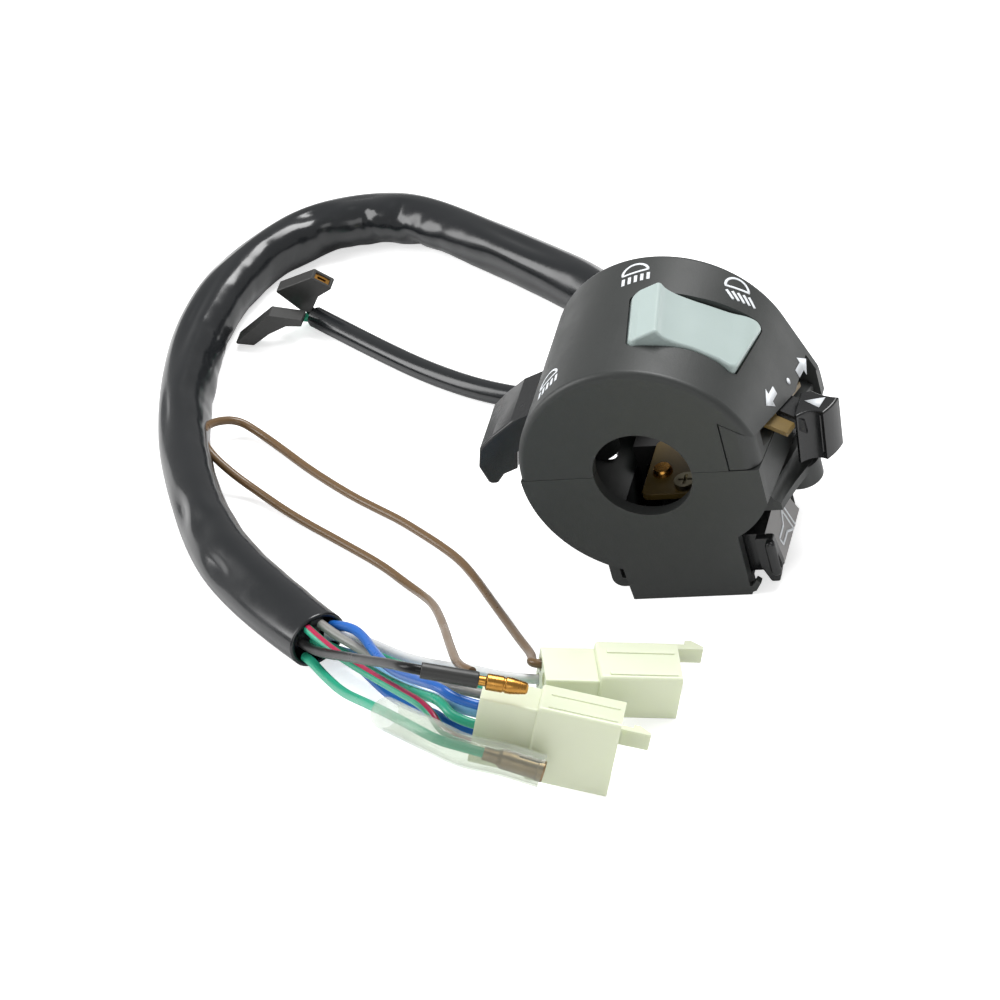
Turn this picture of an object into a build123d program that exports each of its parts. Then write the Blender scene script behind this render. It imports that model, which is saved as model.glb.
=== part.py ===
from build123d import *

import math
import os

# Left-hand handlebar switch cluster of a motorbike, for a 22.2 mm bar, with its wiring.
# Millimetres. X points to the rider, Y along the bar from the grip to the middle of the bike, Z up.
# The origin is on the bar's axis, in the plane of the face that meets the grip.

# Bar and casing
bar_r = 11.1              # 22.2 mm bar
drum_r = 28.0             # outside of the round casing
width = 44.0              # casing along the bar
wall = 2.4
end_wall = 3.0            # the two end plates that grip the bar
floor_z = -34.8           # flat bottom of the lower casing
split_gap = 0.1           # between the two casing halves
edge_round = 1.6

# Flat block under the drum
block_left = -15.1
block_right = 17.8
plate_left = -9.5         # the near plate is narrower than the block behind it
plate_thick = 4.8
block_round = 2.5

# Thumb side: overhanging lip of the upper casing and the shelf of the lower one
lip_angle = 70.0          # from the top of the drum, where the side leaves the circle
lip_low = -12.0           # lowest reach of the straight side
lip_near_z = 13.2         # under side of the lip at its inner end, at the near face
lip_slope = 0.65          # fall of that under side towards the rider
slot_dir = (3.15, 38.0, -11.1)   # the slot runs outwards and down along the bar
far_plate_x = drum_r + 3.2 # where the far end wall stops under the lip
cheek_x = drum_r - 8.4    # inner end of the filler piece under the lip
side_x = drum_r - 1.6     # straight side of the lower casing
side_round = 3.6          # its corner with the near face
side_flare = 3.15 / 38.0  # how much the side moves out per millimetre along the bar
slot_tall = 5.0           # height of the slot under the lip
cove_top = -8.0           # where the side starts to flare out, at the near face
cove_fall = 0.2           # fall of that line along the bar
shelf_low = -15.0         # under side of the thumb shelf, at the near face
shelf_fall = 0.06         # fall of that along the bar
shelf_rim = 1.9
shelf_near = drum_r - 3.1 # reach of the shelf at the near face
shelf_mid = drum_r + 1.3
shelf_far = drum_r + 4.2
shelf_far_y = 21.5
boss_r = 5.0              # round boss under the shelf's corner
boss_at = (drum_r + 0.2, 22.6)
boss_low = -20.1
scoop_x = 16.5
scoop_z = -19.0

# Dimmer rocker, in a tilted frame whose origin is on the drum's surface
rocker_angle = 28.0       # from the top of the drum
rocker_y = 21.2
rocker_skew = 8.0         # degrees that the rocker is turned on the drum
rocker_half = 13.8        # half length across the bar
rocker_slant = 3.6        # how far its pressed end is cut back on the near side
rocker_wide = 21.0        # at the pressed end
rocker_narrow = 18.4      # at the lifted end
rocker_waist = 17.4
rocker_ridge = 1.9        # height of the lifted end over the tangent plane
rocker_deep = 7.0         # depth of its skirt under that plane
rocker_gap = 0.4
rocker_travel = 14.0      # degrees
rocker_pivot_drop = 6.0   # pivot below the drum's surface
rocker_pin_r = 1.25
rocker_pin_long = 26.0

# Turn slider
knob_near = (drum_r + 3.9, 17.4)      # inner near corner, in plan
knob_nose = (drum_r + 9.8, 18.2)      # nose that the thumb pushes
knob_out = (drum_r + 12.4, 23.9)
knob_far = (drum_r + 5.8, 26.8)
knob_top = 0.75
knob_tall = 13.2
knob_lean = -1.6              # how far its foot leans in towards the casing
slide_travel = 4.0
slide_plate_thick = 1.2
slide_plate_near = 11.0         # its ends along the bar
slide_plate_far = width - 9.0
slide_wide = drum_r + 2.0               # reach of its near part, which shows past the lip
turn_ball_r = 0.6
slide_drop = 1.9                # depth of the plate under the lip

# Horn lever
horn_y0 = 2.4
horn_y1 = 27.0
horn_low = -31.0
horn_high = -20.8
horn_face = 22.8              # X of the face's upper edge
horn_flare = 2.8              # its lower edge stands this much further out
horn_inner = 13.4
horn_flange_low = -33.2
horn_pin_r = 1.0
horn_travel = 5.0             # degrees
horn_swing = 2.2              # room behind its near end for that travel

# Passing trigger
trigger_y0 = 9.0
trigger_y1 = 25.0
trigger_pin = (7.4 - drum_r, 7.0)    # X and Z of the pivot
trigger_pin_r = 1.25
trigger_travel = 9.0          # degrees
trigger_gap = 0.5

# Fits
pin_clear = 0.05
part_clear = 0.3

# Casing screws
screw_r = 2.0
screw_head_r = 3.6
screw_head_tall = 2.6
screw_left = (7.4 - drum_r, width - 11.0)    # X and Y
screw_right = (13.6, width - 6.2)
screw_right_z = -22.0          # seat of its head, in a deep hole

# Harness
sleeve_d = 13.0
sleeve_exit = (-4.0, -25.0)       # X and Z in the far face
clamp_long = 5.6
lead_d = 5.3
lead_exit = (-18.4, -12.0)
wire_d = 2.2
wire_straight = 3.0        # straight length where a wire leaves the sleeve or enters a crimp
limp_d = 2.0


def export(shape, name):
    """Writes one node."""
    os.makedirs("parts", exist_ok=True)
    shape.label = name
    export_step(shape, f"parts/{name}.step")
    print(name, round(shape.volume, 1))
    return shape


def polar(radius, degrees_from_top):
    """A point of the drum's section, as X and Z."""
    turn = math.radians(degrees_from_top)
    return radius * math.sin(turn), radius * math.cos(turn)


def along_bar(sketch_face, y0, y1):
    """Extrudes a section drawn in X and Z from y0 to y1."""
    face = Plane(origin=(0, y0, 0), x_dir=(1, 0, 0), z_dir=(0, -1, 0)) * sketch_face
    return extrude(face, amount=y1 - y0, dir=(0, 1, 0))


def cyl_y(radius, x, z, y0, y1):
    """A cylinder along the bar."""
    axis = Plane(origin=(x, y0, z), x_dir=(1, 0, 0), z_dir=(0, 1, 0))
    return axis * Cylinder(radius, y1 - y0, align=(Align.CENTER, Align.CENTER, Align.MIN))


def cyl_z(radius, x, y, z0, z1):
    """An upright cylinder."""
    return Pos(x, y, z0) * Cylinder(radius, z1 - z0, align=(Align.CENTER, Align.CENTER, Align.MIN))


def box(x0, x1, y0, y1, z0, z1):
    """A box from its six faces."""
    return Pos(x0, y0, z0) * Box(x1 - x0, y1 - y0, z1 - z0, align=(Align.MIN, Align.MIN, Align.MIN))


def upper_section(radius, inset):
    """Half circle that runs on as a straight flared side, as a face in X and Z."""
    left = (-radius, 0)
    top = (0, radius)
    tangent = polar(radius, lip_angle)
    turn = math.radians(lip_angle)
    run = (tangent[1] - lip_low) / math.sin(turn)
    low = (tangent[0] + run * math.cos(turn), lip_low)
    inner = cheek_x - inset
    edges = [
        ThreePointArc(left, polar(radius, -45), top),
        ThreePointArc(top, polar(radius, lip_angle / 2), tangent),
        Line(tangent, low),
        Line(low, (inner, lip_low)),
        Line((inner, lip_low), (inner, 0)),
        Line((inner, 0), left),
    ]
    return make_face(Wire(edges))


def lip_cut():
    """What the oblique slot takes out under the lip."""
    far_x = drum_r + 20
    low_z = lip_near_z - lip_slope * (far_x - cheek_x)
    outline = Polyline(
        (cheek_x, lip_near_z), (far_x, low_z), (far_x, -60), (cheek_x, -60), close=True
    )
    step = Vector(*slot_dir)
    start = -1.0 / step.Y
    face = Plane(origin=(0, 0, 0), x_dir=(1, 0, 0), z_dir=(0, -1, 0)) * make_face(outline)
    face = Pos(step * start) * face
    reach = width - end_wall + 1.0
    return extrude(face, amount=step.length * reach / step.Y, dir=step.normalized())


def rocker_frame():
    """Plane on the drum's surface: its x runs down towards the rider, its z outwards."""
    x, z = polar(drum_r, rocker_angle)
    turn = math.radians(rocker_angle)
    flat = Plane(
        origin=(x, rocker_y, z),
        x_dir=(math.cos(turn), 0, -math.sin(turn)),
        z_dir=(math.sin(turn), 0, math.cos(turn)),
    )
    return flat.rotated((0, 0, rocker_skew))


def rocker_outline(grow):
    """Waisted outline of the rocker, seen from above."""
    end = rocker_half + grow
    wide = rocker_wide / 2 + grow
    narrow = rocker_narrow / 2 + grow
    waist = rocker_waist / 2 + grow
    outline = Polyline(
        (-end, -narrow), (-end * 0.62, -narrow), (0, -waist), (end * 0.45, -waist * 1.06), (end - rocker_slant, -wide),
        (end + rocker_slant * 0.7, wide), (end * 0.55, waist * 1.06), (0, waist), (-end * 0.62, narrow), (-end, narrow),
        close=True
    )
    face = make_face(outline)
    return fillet(face.vertices(), 1.8)


def lid_profile():
    """Side view of the rocker: ridge at the lifted end, long ramp to the pressed end."""
    end = rocker_half + 1
    tip = end + rocker_slant
    ridge = rocker_ridge
    edges = [
        Line((-end, -4.6), (-rocker_half + 1.2, -1.2)),
        Line((-rocker_half + 1.2, -1.2), (-9.6, ridge)),
        ThreePointArc((-9.6, ridge), (-9.0, ridge + 0.15), (-8.4, ridge - 0.1)),
        Spline((-8.4, ridge - 0.1), (-5.2, 0.5), (0.0, 0.0), (9.5, -1.1), (tip, -4.6), tangents=[(1, -0.9), (1, -0.75)]),
        Line((tip, -4.6), (tip, -rocker_deep)),
        Line((tip, -rocker_deep), (-end, -rocker_deep)),
        Line((-end, -rocker_deep), (-end, -4.6)),
    ]
    return make_face(Wire(edges))


def side_plane(frame):
    """Plane for side views in a tilted frame: its x is the frame's x, its y the frame's z."""
    return Plane(origin=frame.origin, x_dir=frame.x_dir, z_dir=-frame.y_dir)


def dimmer_rocker():
    """Two-position rocker with a raised end, hollow underneath, with its pivot hub."""
    frame = rocker_frame()
    body = extrude(frame * rocker_outline(0), amount=12, both=True)
    side = extrude(side_plane(frame) * lid_profile(), amount=30, both=True)
    body &= side
    top = body.edges().filter_by(lambda e: (frame.to_local_coords(e.center()).Z > -5.0))
    body = soften(body, top, 0.7)
    hollow = extrude(frame.offset(-rocker_deep - 1) * rocker_outline(-2.0), amount=rocker_deep - 3.2)
    body -= hollow
    drop = rocker_pivot_drop
    across = Plane(origin=frame.from_local_coords(Vector(0, 0, -drop)), x_dir=frame.x_dir, z_dir=frame.y_dir)
    hub = across * Cylinder(rocker_pin_r + 1.4, rocker_waist - 2.0)
    web = frame * Pos(0, 0, -drop + 2.0) * Box(3.4, rocker_waist - 2.0, 4.6)
    body += hub + web
    body += frame * Pos(0, 0, -drop - 2.6) * Cylinder(1.9, 3.0)
    body -= across * Cylinder(rocker_pin_r + pin_clear, 60)
    body -= frame * Pos(0, 0, -drop - 3.4) * Cylinder(1.3, 3.0)
    return body


def soften(body, edges, radius):
    """Rounds the edges together, or one by one where that fails."""
    try:
        return fillet(edges, radius)
    except Exception:
        return body


def dimmer_pivot_pin():
    """Steel pin of the rocker."""
    frame = rocker_frame()
    across = Plane(origin=frame.from_local_coords(Vector(0, 0, -rocker_pivot_drop)),
                   x_dir=frame.x_dir, z_dir=frame.y_dir)
    return across * Cylinder(rocker_pin_r, rocker_pin_long)


def dimmer_base():
    """Moulded base under the rocker: two cheeks that hold the pin and a floor for the contacts."""
    frame = rocker_frame()
    floor = -rocker_pivot_drop - 6.4
    cheek_z = -rocker_pivot_drop
    base = frame * Pos(0, 0, floor - 0.9) * Box(17.0, 21.0, 1.8)
    for side in (-1, 1):
        cheek = frame * Pos(0, side * (rocker_pin_long / 2 - 1.2), (floor + cheek_z + 2.4) / 2 - 0.9)
        base += cheek * Box(7.0, 2.0, cheek_z + 2.4 - floor + 1.8)
        foot = frame * Pos(0, side * (rocker_pin_long / 2 - 2.4), floor - 0.9)
        base += foot * Box(7.0, 3.6, 1.8)
    across = Plane(origin=frame.from_local_coords(Vector(0, 0, cheek_z)), x_dir=frame.x_dir, z_dir=frame.y_dir)
    for side in (-1, 1):
        post = frame * Pos(0, side * (rocker_pin_long / 2 - 1.2), -3.0)
        base += post * Box(7.0, 2.0, 14.0)
    base -= across * Cylinder(rocker_pin_r + pin_clear, 60)
    base -= frame * Pos(0, 0, floor) * Cylinder(1.7, 1.2)
    return base & along_bar(upper_section(drum_r - wall - 0.02, wall), end_wall, width - end_wall)


def dimmer_ball():
    """Detent plunger ball between the rocker's nose and the base."""
    frame = rocker_frame()
    return frame * Pos(0, 0, -rocker_pivot_drop - 5.0) * Sphere(1.2)


def turn_frame(y):
    """Point on the under side of the lip at a place along the bar, as an offset from the near face."""
    return Vector(*slot_dir) * (y / slot_dir[1])


def slot_prism(x0, x1, top, bottom, y0, y1):
    """A plate along the slot, given by its X span at the near face and two gaps under the lip."""
    def lip(x):
        return lip_near_z - lip_slope * (x - cheek_x)
    outline = Polyline((x0, lip(x0) - top), (x1, lip(x1) - top), (x1, lip(x1) - bottom), (x0, lip(x0) - bottom),
                       close=True)
    face = Plane(origin=(0, 0, 0), x_dir=(1, 0, 0), z_dir=(0, -1, 0)) * make_face(outline)
    face = Pos(turn_frame(y0)) * face
    step = Vector(*slot_dir)
    return extrude(face, amount=step.length * (y1 - y0) / step.Y, dir=step.normalized())


def knob_center_y():
    """Middle of the knob along the bar at rest."""
    return (knob_near[1] + knob_far[1]) / 2


def turn_slide_plate():
    """Phenolic slide that carries the knob and the moving contact."""
    low = slide_drop + slide_plate_thick
    inner = cheek_x + 0.6
    wide = slot_prism(inner, slide_wide, slide_drop, low, slide_plate_near, knob_near[1] - 0.7)
    narrow = slot_prism(inner, side_x - 0.4, slide_drop, low, slide_plate_near + 1, slide_plate_far)
    return wide + narrow


def turn_knob():
    """Ribbed thumb piece of the slider, with the stem that grips the slide plate."""
    near, nose, out, far = knob_near, knob_nose, knob_out, knob_far
    mid = knob_center_y()
    back_x = near[0] - 0.6
    edges = [
        Line((back_x, near[1] + 0.6), near),
        ThreePointArc(near, ((near[0] + nose[0]) / 2 - 0.4, (near[1] + nose[1]) / 2 + 1.1), nose),
        ThreePointArc(nose, ((nose[0] + out[0]) / 2 + 0.35, (nose[1] + out[1]) / 2 - 0.15), out),
        ThreePointArc(out, ((out[0] + far[0]) / 2, (out[1] + far[1]) / 2 - 0.5), far),
        Line(far, (back_x, far[1] - 0.6)),
        Line((back_x, far[1] - 0.6), (back_x, near[1] + 0.6)),
    ]
    plan = make_face(Wire(edges))
    lean = Vector(knob_lean, 0.4, -knob_tall)
    body = extrude(Pos(0, 0, knob_top) * plan, amount=lean.length, dir=lean.normalized())
    top_edges = body.edges().filter_by_position(Axis.Z, knob_top - 0.01, knob_top + 0.01)
    body = soften(body, top_edges, 0.5)
    body -= knob_ribs(lean)
    gap = slide_drop + slide_plate_thick
    half = (knob_far[1] - knob_near[1]) / 2 - 0.4
    body += slot_prism(side_x - 0.4, back_x + 0.4, slide_drop - 1.0, gap + 1.5, mid - half, mid + half)
    body += slot_prism(side_x - 3.0, side_x, gap, gap + 1.6, mid - half, mid + half)
    ball = turn_ball_center()
    return body - cyl_z(turn_ball_r + pin_clear, ball.X, ball.Y, ball.Z - 2, ball.Z + 0.7)


def knob_ribs(lean):
    """Grooves down the thumb side of the knob."""
    grooves = []
    near, nose, out = knob_near, knob_nose, knob_out
    count = 7
    for k in range(count):
        t = (k + 0.5) / count
        x = nose[0] + (out[0] - nose[0]) * t + 0.5
        y = nose[1] + (out[1] - nose[1]) * t - 0.3
        grooves.append((x, y, 0.28))
    for k in range(3):
        t = 0.45 + 0.2 * k
        x = near[0] + (nose[0] - near[0]) * t
        y = near[1] + (nose[1] - near[1]) * t + 0.45
        grooves.append((x, y, 0.3))
    tool = None
    for x, y, r in grooves:
        start = Pos(x, y, knob_top - 1.0) * Circle(r)
        cut = extrude(start, amount=lean.length - 2.6, dir=lean.normalized())
        tool = cut if tool is None else tool + cut
    return tool


def turn_base():
    """Filler and guide under the lip: closes the slot's near end and carries the slide plate."""
    low = slide_drop + slide_plate_thick + part_clear
    filler = slot_prism(cheek_x + 0.15, side_x, 0.15, 40, -1.0, 6.0)
    wall_top = slot_prism(side_x - wall, side_x, slot_tall, 40, 5.0, width - end_wall - 1.2)
    rail = slot_prism(cheek_x + 0.15, side_x - wall - 1.4, low + 1.7, 40, end_wall + 0.2, width - end_wall - 1.2)
    ledge = slot_prism(cheek_x + 0.15, side_x - 3.6, low, 40, end_wall + 0.2, width - end_wall - 1.2)
    body = (filler + wall_top) & box(0, 60, 0, width, split_gap / 2, 40)
    corner = body.edges().filter_by(Axis.Z).filter_by(lambda e: e.center().Y < 0.1 and e.center().X > side_x - 1)
    body = soften(body, corner, side_round)
    body += (rail + ledge) & box(0, 60, 0, width, cove_top - 1.0, 40)
    return body


def turn_ball_center():
    """Place of the slider's detent ball."""
    x = side_x - 1.6
    z = lip_near_z - lip_slope * (x - cheek_x) - slide_drop - slide_plate_thick - 1.2
    return turn_frame(knob_center_y()) + Vector(x, 0, z)


def turn_detent_ball():
    """Detent ball of the slider, in a hole of the knob's foot."""
    return Pos(turn_ball_center()) * Sphere(turn_ball_r)


def horn_profile():
    """Section of the horn lever, in X and Z."""
    low_x = horn_face + horn_flare
    edges = Polyline(
        (horn_inner, horn_high), (horn_face, horn_high), (low_x, horn_low + 1.6), (low_x - 1.4, horn_low),
        (horn_inner, horn_low), close=True
    )
    return make_face(edges)


def horn_button():
    """Horn lever: thumb face, near flange with its raised rib, and hinge ears at the far end."""
    body = along_bar(horn_profile(), horn_y0 + 1.4, horn_y1)
    wedge = Pos(horn_face + 3.4, horn_y1 - 1.0, (horn_low + horn_high) / 2) * Rot(0, 0, 33) * Box(7, 4.5, 14)
    body -= wedge
    body -= box(horn_inner + 1.8, horn_face - 2.0, horn_y0 + 4.0, horn_y1 - 6.0, horn_low - 1, horn_high - 1.8)
    flange = Polyline(
        (horn_face - 2.2, horn_high - 0.3), (horn_face + 1.9, horn_high - 0.3), (horn_face + horn_flare, horn_low + 2.4),
        (horn_face + 1.3, horn_flange_low), (horn_face - 0.6, horn_flange_low), (horn_face - 2.2, horn_low + 2.0), close=True
    )
    flange_face = fillet(make_face(flange).vertices(), 0.6)
    body += along_bar(flange_face, horn_y0, horn_y0 + 1.8)
    rib = SlotOverall(9.4, 2.4, rotation=90)
    rib_x = horn_face + 1.2
    rib_z = (horn_high + horn_low) / 2 - 0.4
    raised = along_bar(Pos(rib_x, rib_z) * rib, horn_y0 - 1.4, horn_y0 + 0.2)
    crown = raised.edges().filter_by_position(Axis.Y, horn_y0 - 1.41, horn_y0 - 1.39)
    body += soften(raised, crown, 0.8)
    x, y = horn_hinge()
    body -= cyl_z(horn_pin_r + pin_clear, x, y, horn_low - 2, horn_high + 2)
    notch = spring_mean_r + spring_wire_r + part_clear
    return body - box(horn_inner - 1, x + notch, y - notch, y + notch, -28.4, -23.8)


def horn_hinge():
    """X and Y of the horn lever's pin."""
    return horn_inner + 2.2, horn_y1 - 2.6


def horn_pivot_pin():
    """Steel pin of the horn lever."""
    x, y = horn_hinge()
    return cyl_z(horn_pin_r, x, y, floor_z + wall - 0.8, horn_high + 1.6)


def trigger_profile():
    """Section of the passing trigger, in X and Z: paddle, curled tip and the arm that enters the casing."""
    px, pz = trigger_pin
    outline = Polyline(
        (px + 3.0, pz + 2.6), (px - 2.0, pz + 5.6), (px - 9.6, 9.6), (px - 14.6, 6.0), (px - 18.4, 2.6),
        (px - 19.8, -2.6), (px - 18.4, -7.4), (px - 16.4, -7.4), (px - 14.4, -5.0), (px - 11.0, -3.6),
        (px - 9.8, 1.4), (px - 1.6, pz - 3.0), (px + 3.0, pz - 2.4), close=True
    )
    face = make_face(outline)
    tips = [v for v in face.vertices() if v.X < px - 12]
    return fillet(tips, 1.1)


def passing_trigger():
    """Finger trigger at the front, hollow behind, on a pin inside the casing."""
    body = along_bar(trigger_profile(), trigger_y0, trigger_y1)
    px, pz = trigger_pin
    outer = body.edges().filter_by(lambda e: e.center().X < px - 8.6 and abs(e.center().Y - trigger_y0) < 0.01)
    body = soften(body, outer, 0.7)
    body -= cyl_y(trigger_pin_r + pin_clear, px, pz, trigger_y0 - 1, trigger_y1 + 1)
    hollow = Polyline((px - 8.6, 1.0), (px - 15.4, 1.6), (px - 17.2, -2.4), (px - 16.4, -5.0), (px - 13.6, -3.0),
                      (px - 8.6, -1.8), close=True)
    body -= along_bar(make_face(hollow), trigger_y0 + 1.8, trigger_y1 - 1.8)
    mid = (trigger_y0 + trigger_y1) / 2
    notch = spring_mean_r + 0.25 + spring_wire_r + part_clear
    return body - box(px - notch, px + 4, mid - 2.2, mid + 2.2, pz - 4, pz + notch)


def trigger_pivot_pin():
    """Steel pin of the trigger, held by two ears of the upper casing."""
    px, pz = trigger_pin
    return cyl_y(trigger_pin_r, px, pz, trigger_y0 - 3.4, trigger_y1 + 3.4)


def trigger_window():
    """Opening in the drum's front for the trigger."""
    return box(-40, trigger_pin[0] + 3.8, trigger_y0 - trigger_gap, trigger_y1 + trigger_gap, split_gap / 2, 14.4)


def trigger_ears():
    """Two ears inside the cover that hold the trigger's pin."""
    px, pz = trigger_pin
    ears = None
    for y0, y1 in ((trigger_y0 - 3.6, trigger_y0 - trigger_gap), (trigger_y1 + trigger_gap, trigger_y1 + 3.6)):
        ear = box(px - 8, px + 3.4, y0, y1, pz - 3.2, pz + 14)
        ears = ear if ears is None else ears + ear
    ears &= along_bar(upper_section(drum_r - wall / 2, wall), end_wall / 2, width - end_wall / 2)
    return ears - cyl_y(trigger_pin_r + pin_clear, px, pz, trigger_y0 - 3.5, trigger_y1 + 3.5)


def upper_housing():
    """Upper casing: cover with its lip, rocker window and trigger window."""
    body = along_bar(upper_section(drum_r, 0), 0, width)
    rim = body.edges().filter_by(GeomType.CIRCLE)
    near_rim = rim.filter_by_position(Axis.Y, -0.01, 0.01)
    far_rim = rim.filter_by_position(Axis.Y, width - 0.01, width + 0.01)
    body = fillet(near_rim + far_rim, edge_round)
    cavity = along_bar(upper_section(drum_r - wall, wall), end_wall, width - end_wall)
    body -= cavity
    body += trigger_ears()
    for x, y in (screw_left, screw_right):
        boss = cyl_z(screw_r + 1.4, x, y, split_gap / 2, drum_r) & along_bar(
            upper_section(drum_r - wall / 2, wall), end_wall / 2, width - end_wall / 2)
        body += boss
        body -= cyl_z(screw_r + pin_clear, x, y, -1, 12.0)
    body -= lip_cut()
    body -= box(far_plate_x, far_plate_x + 20, width - end_wall, width + 1, -60, -4.5)
    body -= cyl_y(bar_r, 0, 0, -1, width + 1)
    body -= box(-60, cheek_x, -1, width + 1, -60, split_gap / 2)
    body -= box(cheek_x - 1, 60, -1, width - end_wall - 0.01, -60, split_gap / 2) & slot_prism(0, 29, -50, 80, -2, width)
    frame = rocker_frame()
    body -= extrude(frame * rocker_outline(rocker_gap), amount=14, both=True)
    body -= trigger_window()
    return body


def near_outline():
    """Near plate of the lower casing, in X and Z."""
    edges = Polyline(
        (plate_left - 1.2, -18.0), (plate_left, floor_z), (block_right, floor_z), (block_right, -10.0),
        (plate_left - 1.2, -10.0), close=True
    )
    return make_face(edges)


def half_disc(radius):
    """Lower half of the drum's section."""
    edges = [
        ThreePointArc((-radius, 0), (0, -radius), (radius, 0)),
        Line((radius, 0), (-radius, 0)),
    ]
    return make_face(Wire(edges))


def along_side(sketch_face, y0, y1):
    """Extrudes a section drawn in X and Z along the flaring side of the casing."""
    start = Plane(origin=(side_flare * y0, y0, 0), x_dir=(1, 0, 0), z_dir=(0, -1, 0))
    step = Vector(side_flare, 1, 0)
    return extrude(start * sketch_face, amount=(y1 - y0) * step.length, dir=step.normalized())


def side_section(inset, top):
    """Straight side and scooped under side next to the near face, in X and Z."""
    out = side_x - inset
    edges = [
        Line((8, top), (out, top)),
        Line((out, top), (out, -9.5)),
        ThreePointArc((out, -9.5), (23.2 - inset, -14.2 + inset), (block_right - 1.0, scoop_z + inset)),
        Line((block_right - 1.0, scoop_z + inset), (8, scoop_z + inset)),
        Line((8, scoop_z + inset), (8, top)),
    ]
    return make_face(Wire(edges))


def shelf_section(y, reach):
    """Section of the thumb shelf at a place along the bar: cove above, rounded rim, flat under side."""
    wall_x = side_x + side_flare * y - 0.2
    low = shelf_low - shelf_fall * y
    rim_top = low + shelf_rim
    top = max(cove_top - cove_fall * y, rim_top + 0.9)
    edges = [
        Line((wall_x - 6, top), (wall_x, top)),
        ThreePointArc((wall_x, top), (wall_x + (reach - wall_x) * 0.35, rim_top + 0.4), (reach, rim_top)),
        Line((reach, rim_top), (reach, low)),
        Line((reach, low), (wall_x - 6, low)),
        Line((wall_x - 6, low), (wall_x - 6, top)),
    ]
    plane = Plane(origin=(0, y, 0), x_dir=(1, 0, 0), z_dir=(0, -1, 0))
    return plane * make_face(Wire(edges))


def thumb_shelf():
    """Shelf that flares out under the slider, with its rounded corner and the boss below."""
    x, y = boss_at
    flare = loft([shelf_section(5.0, side_x + 1.4), shelf_section(12.0, shelf_mid),
                  shelf_section(shelf_far_y, shelf_far)])
    rest = loft([shelf_section(shelf_far_y, shelf_far), shelf_section(width, side_x + 4.4)])
    boss = cyl_z(boss_r, x, y, boss_low, shelf_low + 0.5)
    boss = fillet(boss.edges().filter_by_position(Axis.Z, boss_low - 0.01, boss_low + 0.01), 0.7)
    boss -= cyl_z(boss_r - 1.8, x, y, boss_low - 1, boss_low + 2.5)
    return flare + rest + boss


def lower_outside():
    """Everything of the lower casing before it is hollowed."""
    body = along_bar(half_disc(drum_r), 0, width)
    body -= box(14.0, 60, -1, width + 1, -60, 1)
    block = box(block_left, block_right, plate_thick, width, floor_z, -8.0)
    block = fillet(block.edges().filter_by(Axis.Y).group_by(Axis.Z)[0], block_round)
    body += block
    body += along_bar(near_outline(), 0, plate_thick)
    side = along_side(side_section(0, 0), 0, width)
    corner = side.edges().filter_by(lambda e: abs(e.center().Y) < 0.01 and e.center().X > 18 and e.center().Z < -1)
    body += soften(side, corner, side_round - 0.6)
    body += thumb_shelf()
    return body


def lower_cavity():
    """Hollow of the lower casing."""
    round_part = along_bar(half_disc(drum_r - wall), end_wall, width - end_wall)
    round_part -= box(16.0, 60, -1, width + 1, -60, 1)
    block = box(block_left + wall, block_right - wall, plate_thick, width - end_wall, floor_z + wall, 0)
    side = along_side(side_section(wall, 1.0), end_wall, width - end_wall)
    return round_part + block + side


def horn_pocket():
    """Window in the block's right wall for the horn lever."""
    inner = horn_inner - 0.4 - horn_swing
    return box(inner, block_right + 4, horn_y0 + 0.6, horn_y1 + 1.6, horn_low - 0.6, horn_high + 0.5)


def horn_tray():
    """Thin lip that runs round under the horn lever."""
    outline = Polyline(
        (block_right - 1.5, floor_z), (block_right + 1.2, floor_z + 1.0), (block_right + 2.7, floor_z + 3.2),
        (block_right + 1.8, floor_z + 4.0), (block_right + 0.5, floor_z + 2.4), (block_right - 1.5, floor_z + 2.2), close=True
    )
    return along_bar(make_face(outline), 0, 1.6)


def head_seat(x):
    """Height at which a casing screw's head sits."""
    if x > 0:
        return screw_right_z
    return -math.sqrt(drum_r**2 - x**2) + 1.5


def lower_housing():
    """Lower casing: drum bottom, flat block, thumb shelf, horn pocket and cable exits."""
    body = lower_outside()
    body -= lower_cavity()
    for x, y in (screw_left, screw_right):
        low = floor_z if x > 0 else head_seat(x)
        body += cyl_z(screw_head_r + 1.3, x, y, low, -split_gap / 2) & (
            box(block_left, block_right, 0, width - 1, floor_z, 0) + along_bar(half_disc(drum_r - 0.5), 1, width - 1))
        body -= cyl_z(screw_r + part_clear, x, y, -60, 1)
        body -= cyl_z(screw_head_r + part_clear, x, y, -60, head_seat(x) + screw_head_tall)
    body -= cyl_y(bar_r, 0, 0, -1, width + 1)
    body -= box(-60, 60, -1, width + 1, -split_gap / 2, 60)
    body -= cyl_y(sleeve_d / 2 + 0.1, sleeve_exit[0], sleeve_exit[1], width - end_wall - 1, width + 1)
    body -= cyl_y(lead_d / 2 + 0.1, lead_exit[0], lead_exit[1], width - end_wall - 1, width + 1)
    body -= horn_pocket()
    body += horn_tray()
    body -= slot_prism(cheek_x - part_clear, 60, -8, slot_tall, 4.0, width - end_wall)
    body -= box(cheek_x - part_clear, 60, width - end_wall - part_clear, width + 1, lip_low - part_clear, 1)
    hinge_x, hinge_y = horn_hinge()
    for z0, z1 in ((floor_z + wall - 0.1, horn_low - part_clear), (horn_high + part_clear, horn_high + 2.2)):
        body += box(hinge_x - 3.0, block_right - 0.5, hinge_y - 2.6, hinge_y + 3.0, z0, z1)
    body -= cyl_z(horn_pin_r + pin_clear, hinge_x, hinge_y, floor_z + wall - 0.9, horn_high + 1.7)
    return body


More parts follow.
